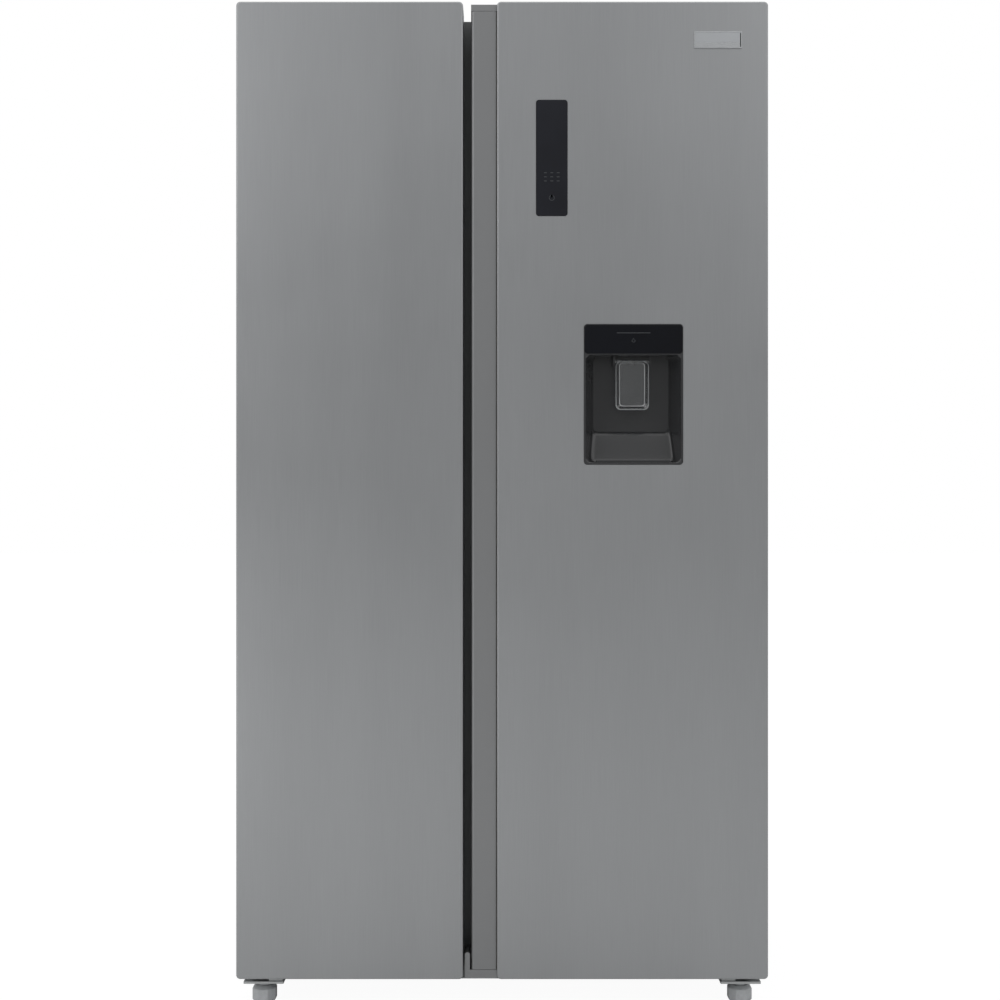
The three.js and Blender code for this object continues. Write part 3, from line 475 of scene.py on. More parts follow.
# a plate facing -Y with round corners and softened front edges
def facePlate(name, xs, zs, front, back, corner, edge, material, edgeSteps=4):
    rings = []
    for step in range(edgeSteps + 1):
        turn = math.radians(90 * step / edgeSteps)
        inset = edge * (1 - math.sin(turn))
        y = front + edge * (1 - math.cos(turn))
        outline = setIn(xs, zs, inset, max(corner - inset, 0.2 * mm))
        rings.append([(x, y, z) for x, z in outline])
    rings.append([(x, back, z) for x, z in setIn(xs, zs, 0, corner)])
    return loft(name, rings, material)


# the low and high ends of a node's box along X, Y and Z
def spans(node):
    return list(zip(low(node), high(node)))


# the angles of a full turn in equal steps
def fullTurn(sides):
    return [2 * math.pi * side / sides for side in range(sides)]


# keeps wide flat faces flat to the eye beside small rounded edges
def evenShading(piece):
    weigh = piece.modifiers.new("shading", "WEIGHTED_NORMAL")
    weigh.weight = 100
    weigh.keep_sharp = True
    return applied(piece)


# finishes a piece: it rides a body, and may stand for CAD nodes
def stand(piece, body, *nodes):
    evenShading(piece)
    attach(piece, body)
    if nodes:
        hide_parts(*nodes)
    return piece


# a CAD node kept as it is, in another finish
def paint(node, material):
    frame["nodes"][node].material_slots[0].material = finish(material)


def softened(node, body, width, material, segments=3):
    return stand(bevelled(copyOf(node, node + "_shape", material), width, segments), body, node)


def smoothCopy(node, body, material, angle=45):
    piece = copyOf(node, node + "_shape", material)
    smoothAll(piece, angle)
    return stand(piece, body, node)


# geometry node trees that repeat a piece, with their sizes as inputs of the modifier

def newPattern(name, sizes):
    group = bpy.data.node_groups.new(name, "GeometryNodeTree")
    group.interface.new_socket("Geometry", in_out="OUTPUT", socket_type="NodeSocketGeometry")
    group.interface.new_socket("Unit", in_out="INPUT", socket_type="NodeSocketGeometry")
    for label, kind in sizes.items():
        group.interface.new_socket(label, in_out="INPUT", socket_type="NodeSocket" + kind)
    return group, Tree(group)


def finishPattern(tree, geometry):
    material = tree.make("NodeGroupInput", output="Material")
    done = tree.make("GeometryNodeSetMaterial", {}, {"Geometry": geometry, "Material": material})
    tree.make("NodeGroupOutput", {}, {"Geometry": done})


# the unit in columns and rows, from where it stands
def rowsAndColumns():
    group, tree = newPattern("rowsAndColumns", {
        "Columns": "Int", "Column Step": "Vector", "Rows": "Int", "Row Step": "Vector",
        "Material": "Material"})
    piece = tree.make("NodeGroupInput", output="Unit")
    for counted, stepped in (("Columns", "Column Step"), ("Rows", "Row Step")):
        count = tree.make("NodeGroupInput", output=counted)
        step = tree.make("NodeGroupInput", output=stepped)
        points = tree.make("GeometryNodeMeshLine", {"mode": "OFFSET"}, {"Count": count, "Offset": step})
        placed = tree.make("GeometryNodeInstanceOnPoints", {}, {"Points": points, "Instance": piece})
        piece = tree.make("GeometryNodeRealizeInstances", {}, {"Geometry": placed})
    finishPattern(tree, piece)
    return group


# the unit, made round the origin, turned in equal steps about Y and moved to its centre
def roundTheAxle():
    sizes = {"Count": "Int", "Centre": "Vector", "Material": "Material"}
    group, tree = newPattern("roundTheAxle", sizes)
    unit = tree.make("NodeGroupInput", output="Unit")
    count = tree.make("NodeGroupInput", output="Count")
    points = tree.make("GeometryNodeMeshLine", {"mode": "OFFSET"}, {"Count": count, "Offset": (0, 0, 0)})
    turn = tree.make("GeometryNodeInputIndex") * (2 * math.pi) / count
    rotation = tree.make("ShaderNodeCombineXYZ", {}, {"Y": turn})
    placed = tree.make("GeometryNodeInstanceOnPoints", {},
                       {"Points": points, "Instance": unit, "Rotation": rotation})
    whole = tree.make("GeometryNodeRealizeInstances", {}, {"Geometry": placed})
    centre = tree.make("NodeGroupInput", output="Centre")
    moved = tree.make("GeometryNodeTransform", {}, {"Geometry": whole, "Translation": centre})
    finishPattern(tree, moved)
    return group


patterns = {"grid": rowsAndColumns(), "ring": roundTheAxle()}


# the unit repeated by a pattern, whose inputs are found by their names and set by their identifiers
def repeated(unit, pattern, **sizes):
    step = unit.modifiers.new("repeat", "NODES")
    step.node_group = patterns[pattern]
    sizes["material"] = unit.data.materials[0]
    for item in patterns[pattern].interface.items_tree:
        key = item.name.replace(" ", "")
        key = key[0].lower() + key[1:]
        if item.in_out == "INPUT" and key in sizes:
            step[item.identifier] = sizes[key]
    return applied(unit)


def rod(name, start, end, radius, material):
    along = Vector(end) - Vector(start)
    form = bmesh.new()
    bmesh.ops.create_cone(form, cap_ends=True, segments=24, radius1=radius, radius2=radius,
                          depth=along.length)
    turn = along.to_track_quat("Z", "Y").to_matrix().to_4x4()
    middle = (Vector(start) + Vector(end)) / 2
    bmesh.ops.transform(form, matrix=Matrix.Translation(middle) @ turn, verts=form.verts)
    piece = fromBmesh(name, form, material)
    smoothByAngle(piece)
    return piece


def softBlock(name, lo, hi, material, edge, segments=3):
    return bevelled(block(name, lo, hi, material), edge, segments)


# a tube along a line of points with round bends
def tube(name, points, radius, material, bend):
    curve = bpy.data.curves.new(name, "CURVE")
    curve.dimensions = "3D"
    curve.bevel_depth = radius
    curve.bevel_resolution = 4
    curve.use_fill_caps = True
    line = curve.splines.new("POLY")
    path = [Vector(points[0])]
    bendSteps = 6
    for before, corner, after in zip(points, points[1:], points[2:]):
        corner = Vector(corner)
        start = corner + (Vector(before) - corner).normalized() * bend
        end = corner + (Vector(after) - corner).normalized() * bend
        for step in range(bendSteps + 1):
            share = step / bendSteps
            path.append(start * (1 - share) ** 2 + corner * 2 * share * (1 - share) + end * share ** 2)
    path.append(Vector(points[-1]))
    line.points.add(len(path) - 1)
    for spot, place in zip(line.points, path):
        spot.co = (*place, 1)
    holder = bpy.data.objects.new(name, curve)
    bpy.context.scene.collection.objects.link(holder)
    mesh = bpy.data.meshes.new_from_object(holder.evaluated_get(bpy.context.evaluated_depsgraph_get()))
    bpy.data.objects.remove(holder)
    piece = meshObject(name, mesh, material)
    smoothAll(piece)
    return piece


# a screw head in a back face: a low dome with a cross cut into it
def screwUnit(name, centre, radius, proud, material):
    x, y, z = centre
    rings = []
    for share, lift in ((1.0, 0.0), (0.96, 0.45), (0.8, 0.8), (0.5, 1.0)):
        reach = radius * share
        rings.append([(x + reach * math.cos(turn), y + proud * lift, z + reach * math.sin(turn))
                      for turn in fullTurn(20)])
    head = loft(name, rings, material)
    floor, top = y + proud * 0.3, y + proud * 2.3
    arms = [(radius * 0.6, radius * 0.14), (radius * 0.14, radius * 0.6)]
    slots = [block("slot", (x - wide, floor, z - tall), (x + wide, top, z + tall)) for wide, tall in arms]
    return cutBy(head, slots)


# door skins: sheet steel folded back all round

skin = {"sheet": 1 * mm, "bend": 2.6 * mm, "corner": 7 * mm, "bendSteps": 5, "clear": 0.3 * mm}


# the outside face, a bend and a return all round, and the inside of the sheet
def foldedTray(name, node):
    xs, ys, zs = spans(node)

    def ring(inset, y):
        outline = setIn(xs, zs, inset, max(skin["corner"] - inset, 0.3 * mm))
        return [(x, y, z) for x, z in outline]

    def bend(radius):
        turns = [math.radians(90 * step / skin["bendSteps"]) for step in range(skin["bendSteps"] + 1)]
        centre = skin["bend"]
        return [ring(centre - radius * math.sin(turn), ys[0] + centre - radius * math.cos(turn))
                for turn in turns]

    outside = bend(skin["bend"])
    inside = bend(skin["bend"] - skin["sheet"])
    rings = outside + [ring(0, ys[1]), ring(skin["sheet"], ys[1])] + inside[::-1]
    return loft(name, rings, "brushedSteel")


# cuts the place of a node out of the door's front, with a little clearance
def plateCutter(node, corner):
    xs, ys, zs = spans(node)
    spare = skin["clear"]
    return facePlate("cutter", (xs[0] - spare, xs[1] + spare), (zs[0] - spare, zs[1] + spare),
                     ys[0] - 5 * mm, ys[0] + 12 * mm, corner + spare, sharp, "brushedSteel")


def makeSkins():
    freezer = foldedTray("freezerDoorSkin", "freezer_door_skin")
    stand(freezer, "freezer_door", "freezer_door_skin")
    fridge = foldedTray("fridgeDoorSkin", "fridge_door_skin")
    xs, ys, zs = spans("fridge_door_skin")
    stripFront = low("handle_strip")[1]
    openWidth = 20 * mm
    openSide = block("cutter", (xs[0] - mm, stripFront, zs[0] - mm),
                     (xs[0] + openWidth, ys[1] + mm, zs[1] + mm))
    cutBy(fridge, [openSide, plateCutter("dispenser_housing", 6 * mm), plateCutter("display_panel", 5 * mm)])
    smoothAll(fridge)
    stand(fridge, "fridge_door", "fridge_door_skin")
    print("door skins made")


# the recessed strip that the fingers reach behind, and the silver end pieces round it

strip = {"leftRound": 5 * mm, "rightRound": 2 * mm, "wall": 2 * mm, "edge": 0.5 * mm, "arcSteps": 6}


def arcPoints(centre, radius, fromTurn, toTurn):
    steps = strip["arcSteps"]
    turns = [math.radians(fromTurn + (toTurn - fromTurn) * step / steps) for step in range(steps + 1)]
    return [(centre[0] + radius * math.cos(turn), centre[1] + radius * math.sin(turn)) for turn in turns]


def makeStrip():
    xs, ys, zs = spans("handle_strip")
    big, small, wall = strip["leftRound"], strip["rightRound"], strip["wall"]
    outer = [(xs[0], ys[1])]
    outer += arcPoints((xs[0] + big, ys[0] + big), big, 180, 270)
    outer += arcPoints((xs[1] - small, ys[0] + small), small, 270, 360)
    inner = arcPoints((xs[0] + big, ys[0] + big), big - wall, 270, 180)
    outline = outer + [(xs[1], ys[0] + wall + small / 2)] + inner + [(xs[0] + wall, ys[1])]
    rings = [[(x, y, z) for x, y in outline] for z in zs]
    piece = loft("handleStrip", rings, "satinSilver")
    bevelled(piece, strip["edge"], 2, 50)
    stand(piece, "fridge_door", "handle_strip")


def makeCaps():
    for door, material in (("freezer_door", "greyPlastic"), ("fridge_door", "satinSilver")):
        for end in ("top", "bottom"):
            softened(f"{door}_{end}_cap", door, mm, material, 2)


gasket = {"width": 17 * mm, "corner": 12 * mm}


# a folded bellows between a foot on the door and a flat face against the cabinet
def makeGasket(node, body):
    xs, ys, zs = spans(node)
    depth = ys[1] - ys[0]
    profile = [(0.15, 0.0), (0.85, 0.0), (0.85, 0.12), (0.98, 0.22), (0.80, 0.38), (0.80, 0.46), (1.0, 0.60),
               (1.0, 0.95), (0.96, 1.0), (0.04, 1.0), (0.0, 0.95), (0.0, 0.60), (0.20, 0.46), (0.20, 0.38),
               (0.02, 0.22), (0.15, 0.12)]
    rings = []
    for across, along in profile:
        inset = across * gasket["width"]
        outline = setIn(xs, zs, inset, max(gasket["corner"] - inset, 0.4 * mm))
        rings.append([(x, ys[0] + along * depth, z) for x, z in outline])
    stand(loft(node + "_bellows", rings, "gasketRubber", False, True), body, node)


doorBin = {"wall": 2.4 * mm, "corner": 14 * mm, "rimTall": 9 * mm, "rimProud": 1.2 * mm, "steps": 6,
           "taper": 3 * mm, "footRound": 4 * mm, "railInset": 16 * mm, "railDrop": 11 * mm,
           "railTall": 13 * mm}


# an open tray: its outside, its rolled rim and its inside as one skin
def openTray(name, xs, ys, zs, size, material):
    def ring(inset, z, corner):
        return [(x, y, z) for x, y in setIn(xs, ys, inset, max(corner, 0.5 * mm), size["steps"])]

    proud, wall, taper, corner = size["rimProud"], size["wall"], size["taper"], size["corner"]
    rimLow = zs[1] - size["rimTall"]
    foot, curve, edge = proud + taper, size["footRound"], 0.4 * mm
    under, flat = zs[0], zs[0] + wall
    outside = [(foot + curve, under), (foot + curve * 0.3, under + curve * 0.3), (foot, under + curve),
               (proud, rimLow), (0.2 * mm, rimLow + edge), (0, rimLow + mm), (0, zs[1] - mm), (edge, zs[1])]
    inside = [(proud + wall - edge, zs[1]), (proud + wall, zs[1] - mm), (foot + wall, flat + curve),
              (foot + wall + curve * 0.3, flat + curve * 0.3), (foot + wall + curve, flat)]
    rings = [ring(inset, z, corner) for inset, z in outside]
    rings += [ring(inset, z, corner - wall) for inset, z in inside]
    return loft(name, rings, material)


def makeBin(node, body):
    xs, ys, zs = spans(node)
    stand(openTray(node + "_tray", xs, ys, zs, doorBin, "clearPlastic"), body, node)
    inset, top = doorBin["railInset"], zs[1] - doorBin["railDrop"]
    rail = softBlock(node + "_rail", (xs[0] + inset, ys[1] - 1.1 * mm, top - doorBin["railTall"]),
                     (xs[1] - inset, ys[1] - 0.1 * mm, top), "satinSilver", 0.4 * mm, 2)
    stand(rail, body)


# the lid of the filler, from the part inside the tank's neck to the dished top
def makeTankLid():
    xs, ys, zs = spans("water_tank")
    middle = ((xs[0] + xs[1]) / 2, (ys[0] + ys[1]) / 2)
    outline = [(29 * mm, -7 * mm), (29 * mm, -2 * mm), (31 * mm, -1.6 * mm), (31 * mm, -0.6 * mm),
               (30 * mm, 0), (12 * mm, -0.2 * mm)]
    rings = [[(middle[0] + radius * math.cos(turn), middle[1] + radius * math.sin(turn), zs[1] + z)
              for turn in fullTurn(40)] for radius, z in outline]
    stand(loft("waterTankLid", rings, "whitePlastic"), "fridge_door")


def makeDoorInsides():
    for door in ("freezer", "fridge"):
        body = door + "_door"
        softened(body + "_liner", body, 4 * mm, "whitePlastic", 4)
        makeGasket(body + "_gasket", body)
        paint(body + "_foam", "foamCore")
    for number in (1, 2, 3):
        makeBin(f"freezer_bin_{number}", "freezer_door")
    for number in (1, 2):
        makeBin(f"fridge_bin_{number}", "fridge_door")
    softened("water_tank", "fridge_door", 1.1 * mm, "clearPlastic", 2)
    makeTankLid()
    print("door insides made")


# water dispenser, display and badge

glassPlate = {"corner": 5 * mm, "edge": 0.8 * mm}

dispenser = {"border": 4 * mm, "corner": 6 * mm, "edge": 1.0 * mm, "hollowCorner": 9 * mm, "lip": 1.2 * mm,
             "floor": 26 * mm, "slope": 55 * mm, "taper": 15 * mm, "wall": 2.5 * mm, "steps": 8,
             "clear": 0.3 * mm}


def makeHousing():
    size = dispenser
    xs, ys, zs = spans("dispenser_housing")
    gap = size["clear"]
    ceiling = high("dispenser_nozzle")[2] + gap
    border = size["border"]
    back = ys[1] - size["wall"]
    body = facePlate("dispenserHousing", xs, zs, ys[0], ys[1], size["corner"], size["edge"], "darkPlastic")

    def ring(y, spread, inset, rise):
        outline = roundRectangle((xs[0] + border + inset - spread, zs[0] + border + rise - spread),
                                 (xs[1] - border - inset + spread, ceiling + spread * 0.5),
                                 size["hollowCorner"], 10)
        return [(x, y, z) for x, z in outline]

    lip = size["lip"]
    rings = [ring(ys[0] - mm, lip, 0, 0), ring(ys[0], lip, 0, 0), ring(ys[0] + lip, 0, 0, 0)]
    floorEnd = ys[0] + size["floor"]
    for step in range(size["steps"] + 1):
        share = step / size["steps"]
        y = floorEnd + (back - floorEnd) * share
        inset = size["taper"] * (y - ys[0]) / (back - ys[0])
        rings.append(ring(y, 0, inset, size["slope"] * share * share * (3 - 2 * share)))
    hollow = loft("hollow", rings, "darkPlastic")
    fx, fy, fz = spans("dispenser_fascia")
    seat = facePlate("seat", (fx[0] - gap, fx[1] + gap), (fz[0] - gap, fz[1] + gap), fy[0] - mm, fy[1] + gap,
                     glassPlate["corner"] + gap, sharp, "darkPlastic")
    cutBy(body, [hollow, seat])
    smoothAll(body, 32)
    stand(body, "fridge_door", "dispenser_housing")


paddle = {"side": 3.5 * mm, "lip": 2.2 * mm, "pan": 7.5 * mm, "corner": 9 * mm, "depth": 5.5 * mm,
          "wall": 2.2 * mm, "bead": 0.75 * mm, "axle": 2.4 * mm, "axleBack": 6 * mm, "axleDrop": 2.5 * mm}


# the clear paddle is a shallow pan that hangs from its axle
def makePaddle():
    size = paddle
    xs, ys, zs = spans("dispenser_paddle")
    side, top = size["side"], zs[1] - size["axleDrop"]

    def ring(inset, y):
        outline = roundRectangle((xs[0] + side + inset, zs[0] + inset),
                                 (xs[1] - side - inset, top - inset * 0.3),
                                 size["corner"] - inset * 0.4, 8)
        return [(x, y, z) for x, z in outline]

    wall, pan, lip, front = size["wall"], size["pan"], size["lip"], ys[0]
    floor = front + size["depth"]
    section = [(pan + 0.4 * mm, floor), (pan - 0.6 * mm, floor - 0.8 * mm),
               (lip + 0.4 * mm, front + 0.9 * mm), (lip - 0.4 * mm, front + 0.1 * mm), (0.5 * mm, front),
               (0, front + 0.6 * mm), (0, front + wall),
               (pan - lip - 0.4 * mm, floor + wall - 0.8 * mm), (pan - lip + 0.8 * mm, floor + wall)]
    rings = [ring(inset, y) for inset, y in section]
    stand(loft("waterPaddle", rings, "paddlePlastic"), "paddle", "dispenser_paddle")
    # two opaque light grey beads along the outer and inner edges: a painted highlight on the clear paddle
    edges = [("paddleOuterBead", 0.9 * mm, front + 0.9 * mm),
             ("paddleInnerBead", pan - 0.4 * mm, floor - 0.6 * mm)]
    for name, inset, y in edges:
        bead = [ring(inset + size["bead"] * math.cos(turn), y + size["bead"] * math.sin(turn))
                for turn in fullTurn(8)]
        stand(loft(name, bead, "frostedEdge", False, True), "paddle")
    y, end = front + size["axleBack"], 0.2 * mm
    axle = rod("paddleAxle", (xs[0] + end, y, top), (xs[1] - end, y, top), size["axle"], "paddlePlastic")
    stand(axle, "paddle")


tray = {"bar": 2.6 * mm, "slat": 2.2 * mm, "pitch": 6 * mm}


# slats between a front bar and a back bar
def makeDripTray():
    xs, ys, zs = spans("drip_tray")
    bar, wide = tray["bar"], tray["slat"]
    slat = softBlock("dripTraySlats", (xs[0] + bar, ys[0] + bar * 0.5, zs[0] + mm),
                     (xs[0] + bar + wide, ys[1] - bar * 0.5, zs[1] - 0.3 * mm), "darkPlastic", 0.5 * mm, 2)
    count = int((xs[1] - xs[0] - 2 * bar) / tray["pitch"])
    step = (xs[1] - xs[0] - 2 * bar - wide) / (count - 1)
    repeated(slat, "grid", columns=count, columnStep=(step, 0, 0), rows=1, rowStep=(0, 0, 0))
    stand(slat, "fridge_door", "drip_tray")
    bars = softBlock("dripTrayBars", (xs[0], ys[0], zs[0]), (xs[1], ys[0] + bar, zs[1]), "darkPlastic",
                     0.6 * mm, 2)
    repeated(bars, "grid", columns=2, columnStep=(0, ys[1] - ys[0] - bar, 0), rows=1, rowStep=(0, 0, 0))
    stand(bars, "fridge_door")


marks = {"proud": 0.06 * mm, "sunk": 0.02 * mm, "dash": (5 * mm, 0.9 * mm), "line": (58 * mm, 0.9 * mm),
         "drop": 3.2 * mm, "ring": 4.6 * mm, "stem": (0.9 * mm, 4.4 * mm), "pen": 0.6 * mm}


# a short printed line: a flat plate just proud of the face it is on
def dashAt(name, x, z, size, front):
    wide, tall = size[0] / 2, size[1] / 2
    outline = roundRectangle((x - wide, z - tall), (x + wide, z + tall), size[1] * 0.45, 4)
    rings = [[(x, y, z) for x, z in outline] for y in (front - marks["proud"], front + marks["sunk"])]
    return loft(name, rings, "printInk")


# a round outline drawn with a pen's width, pinched to a point at its top when it is a drop
def outlineMark(name, x, z, radius, front, pinch):
    def ring(size, y):
        points = []
        for turn in fullTurn(40):
            tall = math.sin(turn)
            wide = math.cos(turn) * (1 - pinch * max(tall, 0) ** 0.8)
            points.append((x + size * wide, y, z + size * tall * (1 + 0.35 * pinch * max(tall, 0))))
        return points

    near, far = front - marks["proud"], front + marks["sunk"]
    inner = radius - marks["pen"]
    return loft(name, [ring(radius, far), ring(radius, near), ring(inner, near), ring(inner, far)],
                "printInk", False, True)


def glassFor(name, node, material):
    xs, ys, zs = spans(node)
    plate = facePlate(name, xs, zs, ys[0], ys[1], glassPlate["corner"], glassPlate["edge"], material, 5)
    stand(plate, "fridge_door", node)


# plain key marks and a ring with a stem, which spell nothing
def makeDisplay():
    glassFor("displayPanel", "display_panel", "displayGlass")
    xs, ys, zs = spans("display_panel")
    middle, bottom = (xs[0] + xs[1]) / 2, zs[0]
    column, row = 11 * mm, 7 * mm
    dashes = dashAt("displayKeyMarks", middle - column, bottom + 60 * mm, marks["dash"], ys[0])
    repeated(dashes, "grid", columns=3, columnStep=(column, 0, 0), rows=3, rowStep=(0, 0, row))
    stand(dashes, "fridge_door")
    ring = outlineMark("displayRingMark", middle, bottom + 31 * mm, marks["ring"], ys[0], 0)
    stand(ring, "fridge_door")
    stem = dashAt("displayStemMark", middle, bottom + 34 * mm, marks["stem"], ys[0])
    stand(stem, "fridge_door")


def makeFascia():
    glassFor("dispenserFascia", "dispenser_fascia", "blackGlass")
    xs, ys, zs = spans("dispenser_fascia")
    middle = (xs[0] + xs[1]) / 2
    stand(dashAt("fasciaLineMark", middle, zs[1] - 14 * mm, marks["line"], ys[0]), "fridge_door")
    drop = outlineMark("fasciaDropMark", middle, zs[1] - 27 * mm, marks["drop"], ys[0], 0.85)
    stand(drop, "fridge_door")


badge = {"edge": 1.6 * mm, "split": 10.5 * mm, "end": 2 * mm, "sunk": 0.35 * mm, "clear": 0.2 * mm}


# a thin plate that lies in the badge's sunk field
def badgePart(name, xs, zs, material):
    front = low("name_badge")[1]
    part = facePlate(name, xs, zs, front + 0.15 * mm, front + 0.36 * mm, 0.6 * mm, 0.1 * mm, material)
    stand(part, "fridge_door")


# a plate without lettering: a bright field over a darker band, in a raised edge
def makeBadge():
    xs, ys, zs = spans("name_badge")
    edge, clear, end = badge["edge"], badge["clear"], badge["end"]
    plate = facePlate("blankBadge", xs, zs, ys[0], ys[1], 1.5 * mm, 0.5 * mm, "badgeMetal")
    field = facePlate("field", (xs[0] + edge, xs[1] - edge), (zs[0] + edge, zs[1] - edge), ys[0] - mm,
                      ys[0] + badge["sunk"], mm, sharp, "badgeMetal")
    cutBy(plate, [field])
    smoothByAngle(plate, 30)
    stand(plate, "fridge_door", "name_badge")
    split = zs[0] + badge["split"]
    wide = (xs[0] + edge + clear, xs[1] - edge - end - 2 * clear)
    badgePart("badgeField", wide, (split + clear, zs[1] - edge - clear), "badgeBright")
    badgePart("badgeBand", wide, (zs[0] + edge + clear, split - mm), "badgeMetal")
    badgePart("badgeEnd", (xs[1] - edge - end, xs[1] - edge - clear), (zs[0] + edge + mm, zs[1] - edge - mm),
              "darkPlastic")


def makeDispenser():
    makeHousing()
    softened("dispenser_nozzle", "fridge_door", 0.5 * mm, "darkPlastic", 2)
    makePaddle()
    makeDripTray()
    makeFascia()
    makeDisplay()
    makeBadge()
    print("dispenser, display and badge made")


# cabinet and what it holds

shelf = {"trim": 16 * mm, "glass": 5 * mm, "glassLift": 3 * mm, "clear": 0.6 * mm}


# a glass plate held by a moulded strip at the front and one at the back
def makeShelf(node):
    xs, ys, zs = spans(node)
    trim, clear = shelf["trim"], shelf["clear"]
    under = zs[0] + shelf["glassLift"]
    over = under + shelf["glass"]
    front, back = ys[0] + trim * 0.4, ys[1] - trim * 0.4
    glass = softBlock(node + "_glass", (xs[0], front, under), (xs[1], back, over), "shelfGlass", 0.8 * mm)
    stand(glass, "cabinet", node)
    for name, y0, y1, shift in (("front", ys[0], ys[0] + trim, -clear), ("back", ys[1] - trim, ys[1], clear)):
        moulding = softBlock(f"{node}_{name}_strip", (xs[0], y0, zs[0]), (xs[1], y1, zs[1]), "whitePlastic",
                             2.5 * mm, 4)
        groove = block("groove", (xs[0] - mm, front + shift, under - clear * 0.2),
                       (xs[1] + mm, back + shift, over + clear * 0.2))
        cutBy(moulding, [groove])
        smoothByAngle(moulding, 35)
        stand(moulding, "cabinet")
    inset, drop = 2 * mm, 4.5 * mm
    line = softBlock(node + "_silver_line", (xs[0] + inset, ys[0] - 0.3 * mm, zs[0] + drop),
                     (xs[1] - inset, ys[0] + 0.4 * mm, zs[1] - drop), "satinSilver", 0.25 * mm, 2)
    stand(line, "cabinet")


drawer = {"wall": 2.5 * mm, "corner": 12 * mm, "rimTall": 10 * mm, "rimProud": 1.2 * mm, "steps": 5,
          "taper": 4 * mm, "footRound": 4 * mm, "gripDeep": 8 * mm, "gripInset": 42 * mm, "gripTall": 26 * mm,
          "gripWall": 5 * mm}


# a clear tray with a white grip across its front, hollow from below
def makeDrawer(node):
    xs, ys, zs = spans(node)
    trayFront = ys[0] + drawer["gripDeep"]
    stand(openTray(node + "_tray", xs, (trayFront, ys[1]), zs, drawer, "clearPlastic"), node, node)
    inset, tall = drawer["gripInset"], drawer["gripTall"]
    grip = softBlock(node + "_grip", (xs[0] + inset, ys[0], zs[1] - tall),
                     (xs[1] - inset, trayFront + mm, zs[1]), "whitePlastic", 2.5 * mm, 4)
    inset += drawer["gripWall"]
    scoop = softBlock("scoop", (xs[0] + inset, ys[0] + 2 * mm, zs[1] - tall - 4 * mm),
                      (xs[1] - inset, trayFront + 2 * mm, zs[1] - 4 * mm), "whitePlastic", 1.5 * mm, 3)
    cutBy(grip, [scoop])
    smoothByAngle(grip, 35)
    stand(grip, node)


evaporator = {"fins": 44, "finSheet": 0.4 * mm, "tube": 4 * mm, "tubeInset": 8 * mm, "bend": 12 * mm,
              "rows": (0.12, 0.31, 0.5, 0.69, 0.88)}


# thin fins across hairpin tubes
def makeEvaporator():
    xs, ys, zs = spans("evaporator")
    sheet, count = evaporator["finSheet"], evaporator["fins"]
    fin = block("evaporatorFins", (xs[0], ys[0], zs[0]), (xs[0] + sheet, ys[1], zs[1]), "finAluminium")
    pitch = (xs[1] - xs[0] - sheet) / (count - 1)
    repeated(fin, "grid", columns=count, columnStep=(pitch, 0, 0), rows=1, rowStep=(0, 0, 0))
    stand(fin, "cabinet", "evaporator")
    y = (ys[0] + ys[1]) / 2
    ends = (xs[0] + evaporator["tubeInset"], xs[1] - evaporator["tubeInset"])
    points = []
    for index, share in enumerate(evaporator["rows"]):
        z = zs[0] + (zs[1] - zs[0]) * share
        line = [(ends[0], y, z), (ends[1], y, z)]
        points += line if index % 2 == 0 else line[::-1]
    stand(tube("evaporatorTube", points, evaporator["tube"], "copperTube", evaporator["bend"]), "cabinet")


fan = {"blades": 5, "root": 14 * mm, "tip": 51 * mm, "halfDepth": 9 * mm, "sheet": 1.4 * mm, "sweep": 0.35,
       "rootAngle": 44, "narrowing": 8, "flattening": 0.25, "camber": 0.12, "steps": 8}


# one blade, made round the origin, from the hub to the tip
def fanBlade():
    half = fan["halfDepth"]
    rings = []
    for step in range(fan["steps"] + 1):
        share = step / fan["steps"]
        radius = fan["root"] + (fan["tip"] - fan["root"]) * share
        width = math.radians(fan["rootAngle"] - fan["narrowing"] * share)
        pitch = half * (1 - fan["flattening"] * share)
        ring = []
        for side, lift in ((-0.5, 0), (0, fan["camber"]), (0.5, 0)):
            turn = fan["sweep"] * share + width * side
            ring.append((radius * math.sin(turn), -2 * pitch * side + lift * half, radius * math.cos(turn)))
        rings.append(ring + [(x, y + fan["sheet"], z) for x, y, z in ring[::-1]])
    return loft("fanBlades", rings, "greyPlastic")


def makeFan():
    ys = spans("evaporator_fan")[1]
    joint = next(j for j in frame["joints"] if j["name"] == "evaporator_fan_spin")
    x, _, z = joint["pos_m"]
    blades = repeated(fanBlade(), "ring", count=fan["blades"], centre=(x, (ys[0] + ys[1]) / 2, z))
    stand(blades, "evaporator_fan", "evaporator_fan")
    outline = [(10 * mm, ys[0]), (13.5 * mm, ys[0] + mm), (15 * mm, ys[0] + 4 * mm), (15 * mm, ys[1])]
    hub = [[(x + radius * math.sin(turn), y, z + radius * math.cos(turn)) for turn in fullTurn(32)]
           for radius, y in outline]
    stand(loft("fanHub", hub, "greyPlastic"), "evaporator_fan")


back = {"face": 0.5 * mm, "bead": 0.6 * mm, "beadWide": 8 * mm, "beads": 9, "beadInset": 60 * mm,
        "beadMargin": 90 * mm, "screw": 4.2 * mm, "screwProud": 0.6 * mm, "screwInset": 14 * mm,
        "screwRows": 8}


